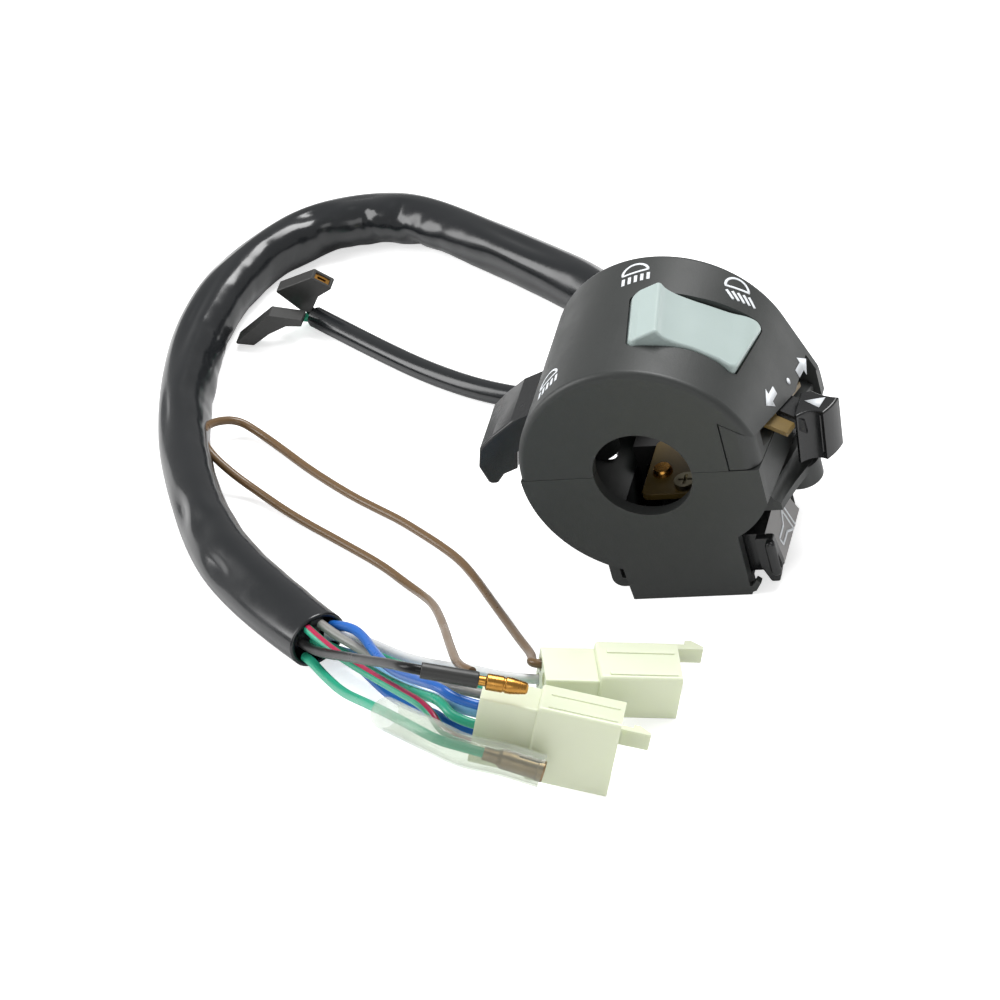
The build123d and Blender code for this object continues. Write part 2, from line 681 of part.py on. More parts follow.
def casing_screws():
    """The two screws that pull the halves together round the bar."""
    group = []
    for x, y in (screw_left, screw_right):
        z_in = head_seat(x)
        head_top = z_in + screw_head_tall
        shank = cyl_z(screw_r, x, y, head_top, 11.0)
        head = cyl_z(screw_head_r, x, y, head_top - screw_head_tall, head_top)
        cross = Pos(x, y, head_top - screw_head_tall) * (Box(4.4, 0.9, 2.4) + Box(0.9, 4.4, 2.4))
        group.append(shank + head - cross)
    return Compound(children=group)


def contact_plate():
    """Phenolic plate of the fixed contacts, under the bar."""
    plate = box(-6.0, 14.0, 12.0, 31.5, -16.4, -14.8)
    plate = fillet(plate.edges().filter_by(Axis.Z), 1.5)
    return plate - cyl_z(1.6, 4.0, 15.0, -20, -10)


def contact_posts(body):
    """Posts of the lower casing that carry the contact plate."""
    for x, y in ((4.0, 15.0), (-3.2, 24.0), (9.8, 28.0)):
        body += cyl_z(2.6, x, y, floor_z + wall - 0.1, -16.4)
    return body - cyl_z(1.25, 4.0, 15.0, -26, -16)


def contact_screw():
    """Screw of the contact plate."""
    body = cyl_z(1.25, 4.0, 15.0, -24, -14.8) + cyl_z(2.6, 4.0, 15.0, -14.8, -13.2)
    return body - Pos(4.0, 15.0, -13.2) * (Box(3.4, 0.7, 1.4) + Box(0.7, 3.4, 1.4))


def contact_rivets():
    """Soldered rivets of the contact plate."""
    group = []
    for x, y in ((-2.4, 20.0), (2.8, 27.5)):
        dome = Pos(x, y, -14.8) * Sphere(2.3) & box(x - 3, x + 3, y - 3, y + 3, -14.8, -13.4)
        group.append(dome)
    return Compound(children=group)


def sleeve_clamp():
    """Saddle that holds the sleeve where it enters the casing, standing on the casing's floor."""
    x, z = sleeve_exit
    half = sleeve_d / 2 + 0.05
    clamp_far = width - 6.0
    saddle = box(x - half - 1.8, x + half + 1.8, clamp_far - clamp_long, clamp_far, floor_z + wall, z + half + 1.6)
    saddle -= cyl_y(half, x, z, clamp_far - 9, clamp_far + 1)
    saddle -= box(x - half, x + half, clamp_far - 9, clamp_far + 1, floor_z, z)
    return saddle


def cord(points, diameter):
    """A tube of straight runs joined by tangent arcs that are as large as the runs allow."""
    spots = [Vector(*p) for p in points]
    radii = []
    for before, here, after in zip(spots, spots[1:], spots[2:]):
        turn = math.radians((here - before).get_angle(after - here))
        run = min((here - before).length, (after - here).length)
        radii.append(0.45 * run / math.tan(turn / 2))
    path = FilletPolyline(*spots, radius=radii)
    tube = sweep(Plane(origin=path @ 0, z_dir=path % 0) * Circle(diameter / 2), path=path)
    section = math.pi * diameter**2 / 4
    print("   cord", round(path.length, 1), "radii", [round(r, 1) for r in radii],
          "volume ratio", round(tube.volume / (section * path.length), 4))
    return tube


def coil_spring(plane, mean_r, wire_r, turns, pitch):
    """A coil along the plane's z, starting at its origin."""
    path = Helix(pitch=pitch, height=pitch * turns, radius=mean_r)
    start = Plane(origin=path @ 0, z_dir=path % 0)
    return plane * sweep(start * RegularPolygon(wire_r, 8), path=path)


def horn_spring():
    """Torsion spring round the horn lever's pin, in the lever's notch."""
    x, y = horn_hinge()
    return coil_spring(Plane(origin=(x, y, -27.6)), spring_mean_r, spring_wire_r, 4, 0.75)


def passing_spring():
    """Torsion spring round the trigger's pin, in the trigger's notch."""
    x, z = trigger_pin
    place = Plane(origin=(x, (trigger_y0 + trigger_y1) / 2 - 1.5, z), x_dir=(1, 0, 0), z_dir=(0, 1, 0))
    return coil_spring(place, spring_mean_r + 0.25, spring_wire_r, 4, 0.75)


def dimmer_spring():
    """Spring behind the rocker's detent ball."""
    frame = rocker_frame()
    place = Plane(origin=frame.from_local_coords(Vector(0, 0, -rocker_pivot_drop - 3.7)), x_dir=frame.x_dir,
                  z_dir=frame.z_dir)
    return coil_spring(place, 0.85, 0.2, 3, 0.55)


def tilted_plane(center, along, up):
    """Frame of a connector: x points to its mating end, z up through it."""
    x = Vector(*along).normalized()
    z = Vector(*up)
    z = (z - x * z.dot(x)).normalized()
    return Plane(origin=center, x_dir=tuple(x), z_dir=tuple(z))


def at(frame, x, y, z):
    """A point given in a frame, as a tuple."""
    spot = frame.from_local_coords(Vector(x, y, z))
    return spot.X, spot.Y, spot.Z


def cells(data):
    """Y and Z of each terminal cell of a connector, in its frame."""
    return [(y, z + data["rear_z"]) for y in data["cell_y"] for z in data["cell_z"]]


def rear_x(data):
    """X of a connector's rear face, in its frame."""
    return -data["front"][0] / 2 - data["rear"][0]


def connector(data):
    """Plug housing: hood with a hollow mating end, narrower rear block with its cells, and a latch arm."""
    long, wide, tall = data["front"]
    rear_long, rear_wide, rear_tall = data["rear"]
    hood = Box(long, wide, tall)
    hood = fillet(hood.edges().filter_by(Axis.X), 0.9)
    hood = fillet(hood.edges().group_by(Axis.X)[0], 0.7)
    rear = Pos(-long / 2 - rear_long / 2 + 0.5, 0, data["rear_z"]) * Box(rear_long + 1.0, rear_wide, rear_tall)
    rear = fillet(rear.edges().filter_by(Axis.X), 0.5)
    body = hood + rear
    for y in (-wide / 2 + 1.6, wide / 2 - 3.6):
        ridge = Pos(0.6, y, tall / 2) * Box(long - 3.2, 0.9, 0.5)
        body += ridge
    deep = data["hood_deep"]
    body -= Pos(long / 2 - deep / 2 + 0.5, 0, 0) * Box(deep + 1.0, wide - 2 * shell, tall - 2 * shell)
    for y, z in cells(data):
        body -= Pos(0, y, z) * Rot(0, 90, 0) * Cylinder(barrel_r + pin_clear, long + 2 * rear_long)
        pocket = Pos(rear_x(data) + pocket_deep / 2 - 0.5, y, z) * Rot(0, 90, 0)
        body -= pocket * Cylinder(wire_d / 2 + 0.5, pocket_deep + 1.0)
    tip = long / 2 + latch_long
    arm = Polyline(
        (0.0, wide / 2 + 0.7), (tip - 0.2, wide / 2 + 0.7), (tip, wide / 2 + 1.4), (tip - 2.6, wide / 2 + 3.4),
        (tip - 4.0, wide / 2 + 3.4), (tip - 4.0, wide / 2 + 2.2), (0.0, wide / 2 + 2.2), close=True
    )
    z0 = data["latch_z"]
    body += extrude(Pos(0, 0, z0) * make_face(arm), amount=latch_tall)
    body += Pos(1.2, wide / 2 + 0.6, z0 + latch_tall / 2) * Box(2.4, 1.6, latch_tall)
    return data["frame"] * body


def terminals(data):
    """Barrels and pins of a connector, one group."""
    long = data["front"][0]
    hood_floor = long / 2 - data["hood_deep"]
    start = rear_x(data) + pocket_deep
    group = []
    for y, z in cells(data):
        barrel = Pos((start + hood_floor) / 2, y, z) * Rot(0, 90, 0) * Cylinder(barrel_r, hood_floor - start)
        pin = Pos((hood_floor + long / 2 - pin_recess) / 2, y, z) * Box(long / 2 - pin_recess - hood_floor, 1.4, 0.8)
        group.append(data["frame"] * (barrel + pin))
    return Compound(children=group)


def bullet_plane():
    """Frame of the male bullet: x along it, origin where its sleeve ends."""
    front = front_plug["frame"]
    top = front_plug["rear"][2] / 2 + front_plug["rear_z"]
    place = front * Pos(bullet_x, bullet_y, top + bullet_r + bullet_lift) * Rot(0, 0, bullet_yaw)
    return Plane(place)


def turned(profile, frame):
    """A solid turned round the frame's x from a list of distances and radii."""
    points = [(profile[0][0], 0)] + profile + [(profile[-1][0], 0)]
    face = make_face(Polyline(*points, close=True))
    return frame * revolve(face, axis=Axis.X)


def bullet_male():
    """Brass bullet with its crimp neck and a groove, tapering to the tip."""
    r = bullet_r
    profile = [(0, 1.1), (1.5, 1.1), (1.7, r - 0.1), (1.9, r), (5.2, r), (5.35, r - 0.2), (5.7, r - 0.2), (5.85, r),
               (7.0, r), (10.2, r - 0.5), (10.6, r - 0.9)]
    return turned(profile, bullet_plane())


def bullet_sleeve():
    """Black sleeve over the crimp."""
    return turned([(-bullet_sleeve_long, 1.75), (-0.2, 1.85), (0, 1.6)], bullet_plane())


def clear_frame():
    """Frame of the receptacle: x along it to its mouth, origin at the clear sleeve's mouth."""
    last = Vector(*clear_route[-1])
    along = (last - Vector(*clear_route[-2])).normalized()
    return Plane(origin=last, x_dir=tuple(along), z_dir=tuple(along.cross(Vector(0, 1, 0)).normalized()))


def receptacle():
    """Brass receptacle inside the clear sleeve, with its crimp and a rolled mouth."""
    frame = clear_frame()
    out = receptacle_r
    body = turned([(-receptacle_long, 1.5), (-receptacle_long + 3.0, 1.5), (-receptacle_long + 4.2, out - 0.2),
                   (-1.2, out - 0.2), (-1.0, out), (0.2, out), (0.5, out - 0.2)], frame)
    bore = turned([(-8.5, bullet_r + 0.05), (1.0, bullet_r + 0.05)], frame)
    slit = frame * Pos(-3.0, 0, out) * Box(5.0, 0.5, 2 * out)
    return body - bore - slit


def tube(points, outer, inner):
    """A hollow cord."""
    return cord(points, outer) - cord([over(points[1], points[0])] + points[1:-1] + [over(points[-2], points[-1])], inner)


def over(before, end):
    """An end point moved half a millimetre further out."""
    step = (Vector(*end) - Vector(*before)).normalized() * 0.5
    spot = Vector(*end) + step
    return spot.X, spot.Y, spot.Z


def mouth_point(across, up):
    """A point in the mouth of the main sleeve."""
    end = Vector(*sleeve_route[-1])
    along = (end - Vector(*sleeve_route[-2])).normalized()
    side = Vector(-along.Y, along.X, 0).normalized()
    spot = end + side * across + Vector(0, 0, up)
    return spot.X, spot.Y, spot.Z


def mouth_points(across, up):
    """First two points of a wire: in the sleeve's mouth, and a short way straight out of it."""
    along = (Vector(*sleeve_route[-1]) - Vector(*sleeve_route[-2])).normalized()
    start = Vector(*mouth_point(across, up))
    return [tuple(start), tuple(start + along * wire_straight)]


def plug_points(data, cell, run):
    """Last two points of a wire that ends in a cell of a connector."""
    y, z = cells(data)[cell]
    x = rear_x(data) + pocket_deep
    return [at(data["frame"], x - run, y, z), at(data["frame"], x, y, z)]


def boot(outline, y, thick, mouth):
    """Flag boot of a clutch switch lead: flat moulding with a hollow open end."""
    plane = Plane(origin=(0, y, 0), x_dir=(1, 0, 0), z_dir=(0, -1, 0))
    face = plane * make_face(Polyline(*outline, close=True))
    body = extrude(face, amount=thick, dir=(0, 1, 0))
    body = fillet(body.edges().filter_by(Axis.Y), 0.45)
    hollow = boot_hollow(mouth, y + boot_wall, thick - 2 * boot_wall, boot_wall, boot_deep)
    return body - hollow


def boot_hollow(mouth, y, thick, inset, deep):
    """Prism behind a boot's open end, which is given by its two corners and the way out."""
    (ax, az), (bx, bz), (ox, oz) = mouth
    side = Vector(bx - ax, 0, bz - az).normalized() * inset
    a = Vector(ax, y, az) + side
    b = Vector(bx, y, bz) - side
    out = Vector(ox, 0, oz).normalized()
    corners = [a + out * 0.5, b + out * 0.5, b - out * deep, a - out * deep]
    face = make_face(Polyline(*[tuple(c) for c in corners], close=True))
    return extrude(face, amount=thick, dir=(0, 1, 0))


def boot_terminal(mouth, y, thick):
    """Brass tab terminal inside a boot."""
    lip = boot_wall + pin_clear
    (ax, az), (bx, bz), (ox, oz) = mouth
    out = Vector(ox, 0, oz).normalized() * -1.0
    back = [(ax + out.X, az + out.Z), (bx + out.X, bz + out.Z), (ox, oz)]
    block = boot_hollow(back, y + lip, thick - 2 * lip, lip, boot_deep - 1.1)
    slot = boot_hollow(mouth, y + thick / 2 - 0.4, 0.8, 1.8, boot_deep - 1.5)
    return block - slot


# Plastic connectors, as front size, rear size and cell grid, each lying tilted on the ground
shell = 1.1
barrel_r = 1.0
pocket_deep = 2.5
pin_recess = 4.0          # from the mating face back to the pins
latch_long = 6.6
latch_tall = 4.0
back_plug = {
    "frame": tilted_plane((0.5, -38.8, -25.7), (0.89, 0.31, -0.34), (0.35, 0.03, 0.94)),
    "front": (18.0, 12.2, 11.8), "rear": (11.7, 11.0, 9.4), "rear_z": -0.5,
    "cell_y": (-2.5, 2.5), "cell_z": (2.2, -2.2), "hood_deep": 10.0, "latch_z": -0.6,
}
front_plug = {
    "frame": tilted_plane((-7.4, -62.3, -22.05), (0.93, 0.05, -0.37), (0.36, 0.16, 0.92)),
    "front": (18.2, 10.0, 18.9), "rear": (12.4, 8.8, 16.8), "rear_z": 0.0,
    "cell_y": (-2.2, 2.2), "cell_z": (5.0, 0.0, -5.0), "hood_deep": 10.0, "latch_z": -2.4,
}

# Bullet connectors
bullet_r = 1.8
bullet_x = -22.5          # along the front plug, where the sleeve ends
bullet_y = -4.6
bullet_lift = 2.7         # gap under it, so that a receptacle goes on
bullet_yaw = 4.5
bullet_sleeve_long = 12.4
receptacle_r = 2.4
receptacle_long = 13.0
clear_d = 7.3
clear_bore = 6.5

# Torsion springs
spring_mean_r = 1.55
spring_wire_r = 0.3

# Routes of the cords, point by point
sleeve_route = [
    (-4, 32, -25), (-4, 52, -25), (-12, 78, -27), (-32, 102, -28.3), (-58, 122, -28.3), (-82, 138.5, -28.3),
    (-96.5, 145.3, -28.3), (-111, 145.8, -28.3), (-123.7, 139.9, -28.3), (-132.5, 129, -28.3),
    (-137.1, 114.7, -28.3), (-138.6, 92.8, -28.3), (-133, 62, -28.3),
    (-119, 28, -28.3), (-101, 3, -28.3), (-78.5, -17.5, -28.3),
]
clutch_route = [
    (-18.4, 38, -12), (-18.4, 50.6, -12), (-24, 58, -19), (-34, 66, -27), (-47, 72, -32.1), (-61, 76.5, -32.1),
    (-76, 84.5, -32.1), (-92, 95.5, -32.1), (-112, 110.5, -32.1),
]
clear_route = [
    (-48.8, -60.0, -14.5), (-40.5, -67.4, -12.0), (-34.0, -71.6, -12.0), (-27.9, -73.7, -14.2),
    (-20.5, -72.9, -17.2), (-12.4, -72.6, -21.4),
]
# Each wire: where it leaves the sleeve, its free points, the plug cell that it ends in and its last run
plug_wires = {
    "wire_blue": ((4.2, 1.5), front_plug, 0, 7.0, [
        (-70.7, -16.5, -25.5), (-65.5, -22.0, -24.0), (-60.2, -31.1, -21.0), (-52.3, -43.0, -16.5),
        (-43.0, -53.8, -10.5), (-34.2, -62.2, -5.6)]),
    "wire_grey": ((1.8, 3.4), front_plug, 3, 8.5, [
        (-73.0, -19.2, -26.0), (-67.6, -22.7, -26.5), (-60.8, -28.9, -25.5), (-52.4, -37.9, -22.0),
        (-41.5, -49.9, -15.0)]),
    "wire_green_red": ((-1.5, 4.0), front_plug, 2, 8.0, [
        (-73.9, -24.4, -24.5), (-68.0, -29.4, -24.5), (-59.1, -38.3, -22.0), (-48.6, -49.5, -17.5),
        (-38.8, -60.0, -13.4)]),
    "wire_green": ((-1.1, 1.0), front_plug, 1, 7.0, [
        (-71.3, -21.8, -28.8), (-64.9, -27.5, -28.8), (-55.3, -37.0, -25.5), (-45.0, -49.2, -18.5),
        (-35.6, -59.8, -11.5)]),
    "wire_blue_low": ((-1.6, -2.0), front_plug, 5, 8.0, [
        (-73.4, -19.1, -31.5), (-68.2, -23.0, -32.0), (-63.5, -27.9, -32.5), (-57.2, -35.8, -30.5),
        (-47.8, -46.1, -25.5), (-39.0, -55.6, -19.0)]),
    "wire_light_blue": ((1.4, -3.4), front_plug, 4, 8.0, [
        (-73.4, -16.3, -33.0), (-66.8, -20.9, -33.0), (-58.9, -28.3, -31.5), (-49.3, -39.3, -26.5),
        (-39.3, -51.3, -18.5)]),
    "wire_white": ((1.9, -0.2), back_plug, 3, 8.0, [
        (-71.1, -15.5, -29.3), (-65.1, -18.2, -29.8), (-57.3, -23.5, -29.2), (-47.4, -30.4, -26.2),
        (-36.2, -38.4, -21.0)]),
    "wire_green_back": ((4.4, -2.0), back_plug, 1, 8.0, [
        (-71.6, -14.0, -32.5), (-65.3, -18.3, -33.0), (-57.5, -23.3, -32.7), (-47.0, -31.8, -29.0),
        (-36.0, -42.0, -22.0)]),
}
black_free = [(-72.0, -30.0, -22.2), (-63.1, -39.7, -15.1), (-52.4, -51.9, -6.4), (-43.4, -61.9, 0.9)]
green_lower_free = [
    (-74.5, -28.7, -29.5), (-66.5, -39.5, -25.5), (-57.3, -50.2, -19.5), (-48.9, -59.6, -14.5), (-40.5, -67.4, -12.0),
    (-33.4, -72.2, -12.3),
]
brown_free = [
    (-23.2, -39.0, -17.6), (-27.2, -31.9, -22.0), (-33.7, -16.2, -27.0), (-41.2, -2.5, -31.0), (-48.2, 10.1, -33.5),
    (-53.7, 19.0, -33.7), (-63, 30.5, -33.7), (-73, 40.0, -33.7), (-84, 50.0, -33.7), (-96, 59.5, -33.7),
    (-108, 67.0, -33.7), (-117, 71.5, -33.2), (-123.5, 71.5, -31.5), (-125.5, 66.5, -31.0), (-121, 57.0, -32.5),
    (-112, 46.0, -33.7), (-99, 34.5, -33.7), (-84, 23.5, -33.7), (-72.5, 14.9, -33.7), (-65.6, 8.4, -33.7),
    (-59.3, 1.5, -32.0), (-53.2, -7.4, -28.0), (-45.2, -24.3, -20.0), (-36.1, -45.2, -9.8), (-28.9, -60.8, -1.6),
]

# Flag boots of the clutch switch leads: outline in X and Z on the near face, and the open end
boot_wall = 0.9
boot_deep = 6.0
boot_thick = 4.0
boot_a_y = 110.0
boot_a_outline = [(-120.3, -23.25), (-110.2, -19.95), (-105.6, -23.55), (-109.8, -25.75), (-111.6, -28.45),
                  (-112.9, -30.35), (-115.1, -29.65)]
boot_a_mouth = ((-110.2, -19.95), (-105.6, -23.55), (0.95, 0.31))
boot_b_y = 103.0
boot_b_outline = [(-131.8, -33.1), (-120.8, -25.4), (-112.6, -27.4), (-113.2, -29.2), (-117.2, -28.9),
                  (-122.0, -30.9), (-126.8, -34.0)]
boot_b_mouth = ((-126.8, -34.0), (-131.8, -33.1), (-0.82, -0.57))

# Short leads from the thin sleeve into the boots
lead_a_route = [(-112, 110.5, -30.9), (-113.7, 111.8, -30.9), (-114.1, 112.2, -28.4)]
lead_b_route = [(-112, 110.5, -33.3), (-114.6, 112.4, -33.3), (-117.4, 110.6, -31.8), (-116.4, 106.0, -27.7)]


def main():
    """Builds and writes every node."""
    export(upper_housing(), "upper_housing")
    export(contact_posts(lower_housing()), "lower_housing")
    export(casing_screws(), "casing_screws")
    export(dimmer_rocker(), "dimmer_rocker")
    export(dimmer_pivot_pin(), "dimmer_pivot_pin")
    export(dimmer_base(), "dimmer_base")
    export(dimmer_ball(), "dimmer_detent_ball")
    export(dimmer_spring(), "dimmer_detent_spring")
    export(turn_slide_plate(), "turn_slide_plate")
    export(turn_knob(), "turn_knob")
    export(turn_base(), "turn_switch_base")
    export(turn_detent_ball(), "turn_detent_ball")
    export(horn_button(), "horn_button")
    export(horn_pivot_pin(), "horn_pivot_pin")
    export(horn_spring(), "horn_spring")
    export(passing_trigger(), "passing_trigger")
    export(trigger_pivot_pin(), "trigger_pivot_pin")
    export(passing_spring(), "passing_spring")
    export(contact_plate(), "contact_plate")
    export(contact_screw(), "contact_screw")
    export(contact_rivets(), "contact_rivets")
    export(sleeve_clamp(), "sleeve_clamp")
    export(connector(back_plug), "connector_back")
    export(connector(front_plug), "connector_front")
    export(terminals(back_plug), "terminals_back")
    export(terminals(front_plug), "terminals_front")
    export(bullet_male(), "bullet_male")
    export(bullet_sleeve(), "bullet_sleeve")
    export(receptacle(), "bullet_receptacle")
    export(tube(clear_route, clear_d, clear_bore), "clear_sleeve")
    export(boot(boot_a_outline, boot_a_y, boot_thick, boot_a_mouth), "clutch_boot_a")
    export(boot(boot_b_outline, boot_b_y, boot_thick, boot_b_mouth), "clutch_boot_b")
    export(boot_terminal(boot_a_mouth, boot_a_y, boot_thick), "clutch_terminal_a")
    export(boot_terminal(boot_b_mouth, boot_b_y, boot_thick), "clutch_terminal_b")
    export(cord(sleeve_route, sleeve_d), "main_sleeve")
    export(cord(clutch_route, lead_d), "clutch_sleeve")
    export(cord(lead_a_route, wire_d), "clutch_lead_a")
    export(cord(lead_b_route, wire_d), "clutch_lead_b")
    for name, (leave, plug, cell, run, free) in plug_wires.items():
        export(cord([mouth_point(*leave)] + free + plug_points(plug, cell, run), wire_d), name)
    crimp = [at(bullet_plane(), x, 0, 0) for x in (-bullet_sleeve_long - wire_straight, -bullet_sleeve_long)]
    export(cord(mouth_points(-4.0, 1.8) + black_free + crimp, wire_d), "wire_black")
    crimp = [at(clear_frame(), x, 0, 0) for x in (-receptacle_long - wire_straight, -receptacle_long)]
    export(cord(mouth_points(-4.2, -2.2) + green_lower_free + crimp, wire_d), "wire_green_lower")
    joint = at(bullet_plane(), -1.6, 1.5, 0.9)
    inside = plug_points(back_plug, 2, 5.0)
    export(cord([inside[1], inside[0]] + brown_free + [joint], limp_d), "wire_brown")


main()
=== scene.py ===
import bmesh
import bpy
import numpy as np
from mathutils import Matrix


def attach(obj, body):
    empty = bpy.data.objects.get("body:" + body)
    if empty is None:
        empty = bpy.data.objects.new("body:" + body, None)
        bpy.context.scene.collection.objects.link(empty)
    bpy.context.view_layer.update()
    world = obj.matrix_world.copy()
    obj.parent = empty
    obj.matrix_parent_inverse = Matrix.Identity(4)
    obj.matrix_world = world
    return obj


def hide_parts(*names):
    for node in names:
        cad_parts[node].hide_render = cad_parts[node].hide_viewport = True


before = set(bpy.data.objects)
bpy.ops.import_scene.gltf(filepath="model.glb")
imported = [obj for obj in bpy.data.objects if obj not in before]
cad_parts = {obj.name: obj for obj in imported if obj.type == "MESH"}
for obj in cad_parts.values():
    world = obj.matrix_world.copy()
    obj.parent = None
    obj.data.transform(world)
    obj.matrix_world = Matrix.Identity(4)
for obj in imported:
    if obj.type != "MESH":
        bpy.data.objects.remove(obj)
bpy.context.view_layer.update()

mm = 0.001

# helpers

def linear(hexColour, alpha=1.0):
    # sRGB hex to linear light
    c = np.array([int(hexColour[i:i + 2], 16) for i in (1, 3, 5)]) / 255.0
    c = np.where(c <= 0.04045, c / 12.92, ((c + 0.055) / 1.055) ** 2.4)
    return (*c, alpha)


def addNode(tree, kind, values=None, **settings):
    # one shader node with its settings; values are numbers, colours or (node, output) links
    made = tree.nodes.new(kind)
    for key, value in settings.items():
        setattr(made, key, value)
    for key, value in (values or {}).items():
        if isinstance(value, tuple) and isinstance(value[0], bpy.types.Node):
            tree.links.new(value[0].outputs[value[1]], made.inputs[key])
        else:
            made.inputs[key].default_value = value
    return made


def unit(v):
    v = np.asarray(v, float)
    return v / np.linalg.norm(v, axis=-1, keepdims=True)


def newMaterial(name):
    made = bpy.data.materials.new(name)
    made.use_nodes = True
    made.node_tree.nodes.clear()
    return made, made.node_tree


def meshObject(name, verts, faces, material, smooth=True):
    data = bpy.data.meshes.new(name)
    data.from_pydata([tuple(v) for v in np.asarray(verts, float)], [], [tuple(int(i) for i in f) for f in faces])
    data.polygons.foreach_set("use_smooth", [smooth] * len(data.polygons))
    data.materials.append(material)
    data.update()
    made = bpy.data.objects.new(name, data)
    bpy.context.scene.collection.objects.link(made)
    return made


def gridFaces(rows, columns, closed=True):
    # quads of a rows x columns grid, the columns closed into a ring or not
    i = np.arange(rows - 1)[:, None]
    j = np.arange(columns if closed else columns - 1)[None, :]
    k = (j + 1) % columns
    corners = [i * columns + j, i * columns + k, (i + 1) * columns + k, (i + 1) * columns + j]
    return np.stack(corners, -1).reshape(-1, 4)


# materials: each starts from what the real one is

def moulded(name, colour, roughness, mottle=0.06, grainMm=0.5, grainDepth=0.02, subsurface=0.0, specular=0.5,
            blotchMm=9.0):
    # injection-moulded or extruded plastic: even colour with a faint cloud, and fine spark-eroded grain
    made, tree = newMaterial(name)
    place = addNode(tree, "ShaderNodeTexCoord")
    cloud = addNode(tree, "ShaderNodeTexNoise", {"Vector": (place, "Object"), "Scale": 1 / (blotchMm * mm),
                    "Detail": 4.0, "Roughness": 0.6})
    base = linear(colour)
    shade = addNode(tree, "ShaderNodeMix", {"Factor": (cloud, "Fac")}, data_type="RGBA")
    shade.inputs[6].default_value = tuple(c * (1 - mottle) for c in base[:3]) + (1,)
    shade.inputs[7].default_value = tuple(min(1, c * (1 + mottle)) for c in base[:3]) + (1,)
    grain = addNode(tree, "ShaderNodeTexNoise", {"Vector": (place, "Object"), "Scale": 1 / (grainMm * mm),
                    "Detail": 3.0, "Roughness": 0.7})
    bump = addNode(tree, "ShaderNodeBump", {"Height": (grain, "Fac"), "Strength": 0.6, "Distance": grainDepth * mm})
    wear = addNode(tree, "ShaderNodeMapRange", {"Value": (cloud, "Fac"), "From Min": 0.3, "From Max": 0.7,
                   "To Min": max(0.05, roughness - 0.05), "To Max": roughness + 0.05})
    shader = addNode(tree, "ShaderNodeBsdfPrincipled", {"Roughness": (wear, "Result"), "Normal": (bump, "Normal"),
                     "IOR": 1.5, "Specular IOR Level": specular, "Subsurface Weight": subsurface,
                     "Subsurface Scale": 1.5 * mm})
    shader.inputs["Subsurface Radius"].default_value = (1.0, 1.0, 0.8)
    tree.links.new(shade.outputs[2], shader.inputs["Base Color"])
    addNode(tree, "ShaderNodeOutputMaterial", {"Surface": (shader, "BSDF")})
    return made


def metal(name, colour, shadeColour, roughness, grainMm=0.25, tarnishMm=2.5, strength=0.35):
    # stamped or turned metal: tarnish in clouds, drawing marks in the bump
    made, tree = newMaterial(name)
    place = addNode(tree, "ShaderNodeTexCoord")
    cloud = addNode(tree, "ShaderNodeTexNoise", {"Vector": (place, "Object"), "Scale": 1 / (tarnishMm * mm),
                    "Detail": 6.0, "Roughness": 0.65})
    shade = addNode(tree, "ShaderNodeMix", {"Factor": (cloud, "Fac")}, data_type="RGBA")
    shade.inputs[6].default_value = linear(colour)
    shade.inputs[7].default_value = linear(shadeColour)
    marks = addNode(tree, "ShaderNodeTexNoise", {"Vector": (place, "Object"), "Scale": 1 / (grainMm * mm),
                    "Detail": 3.0})
    bump = addNode(tree, "ShaderNodeBump", {"Height": (marks, "Fac"), "Strength": strength, "Distance": 0.03 * mm})
    rough = addNode(tree, "ShaderNodeMapRange", {"Value": (cloud, "Fac"), "From Min": 0.3, "From Max": 0.7,
                    "To Min": roughness - 0.08, "To Max": roughness + 0.12})
    shader = addNode(tree, "ShaderNodeBsdfPrincipled", {"Metallic": 1.0, "Roughness": (rough, "Result"),
                     "Normal": (bump, "Normal")})
    tree.links.new(shade.outputs[2], shader.inputs["Base Color"])
    addNode(tree, "ShaderNodeOutputMaterial", {"Surface": (shader, "BSDF")})
    return made


def clearVinyl(name):
    # thin clear PVC tube: mostly see-through, milky at grazing angles, with hard highlights
    made, tree = newMaterial(name)
    place = addNode(tree, "ShaderNodeTexCoord")
    ripple = addNode(tree, "ShaderNodeTexNoise", {"Vector": (place, "Object"), "Scale": 1 / (3.0 * mm),
                     "Detail": 2.0})
    bump = addNode(tree, "ShaderNodeBump", {"Height": (ripple, "Fac"), "Strength": 0.5, "Distance": 0.25 * mm})
    edge = addNode(tree, "ShaderNodeLayerWeight", {"Blend": 0.28, "Normal": (bump, "Normal")})
    veil = addNode(tree, "ShaderNodeMapRange", {"Value": (edge, "Facing"), "From Min": 0.0, "From Max": 1.0,
                   "To Min": 0.1, "To Max": 0.62})
    milk = addNode(tree, "ShaderNodeBsdfPrincipled", {"Base Color": linear("#DCE0D8"), "Roughness": 0.08,
                   "Specular IOR Level": 0.6, "Normal": (bump, "Normal")})
    through = addNode(tree, "ShaderNodeBsdfTransparent", {"Color": linear("#F6F8F4")})
    mix = addNode(tree, "ShaderNodeMixShader", {"Fac": (veil, "Result")})
    tree.links.new(through.outputs[0], mix.inputs[1])
    tree.links.new(milk.outputs[0], mix.inputs[2])
    addNode(tree, "ShaderNodeOutputMaterial", {"Surface": (mix, "Shader")})
    return made


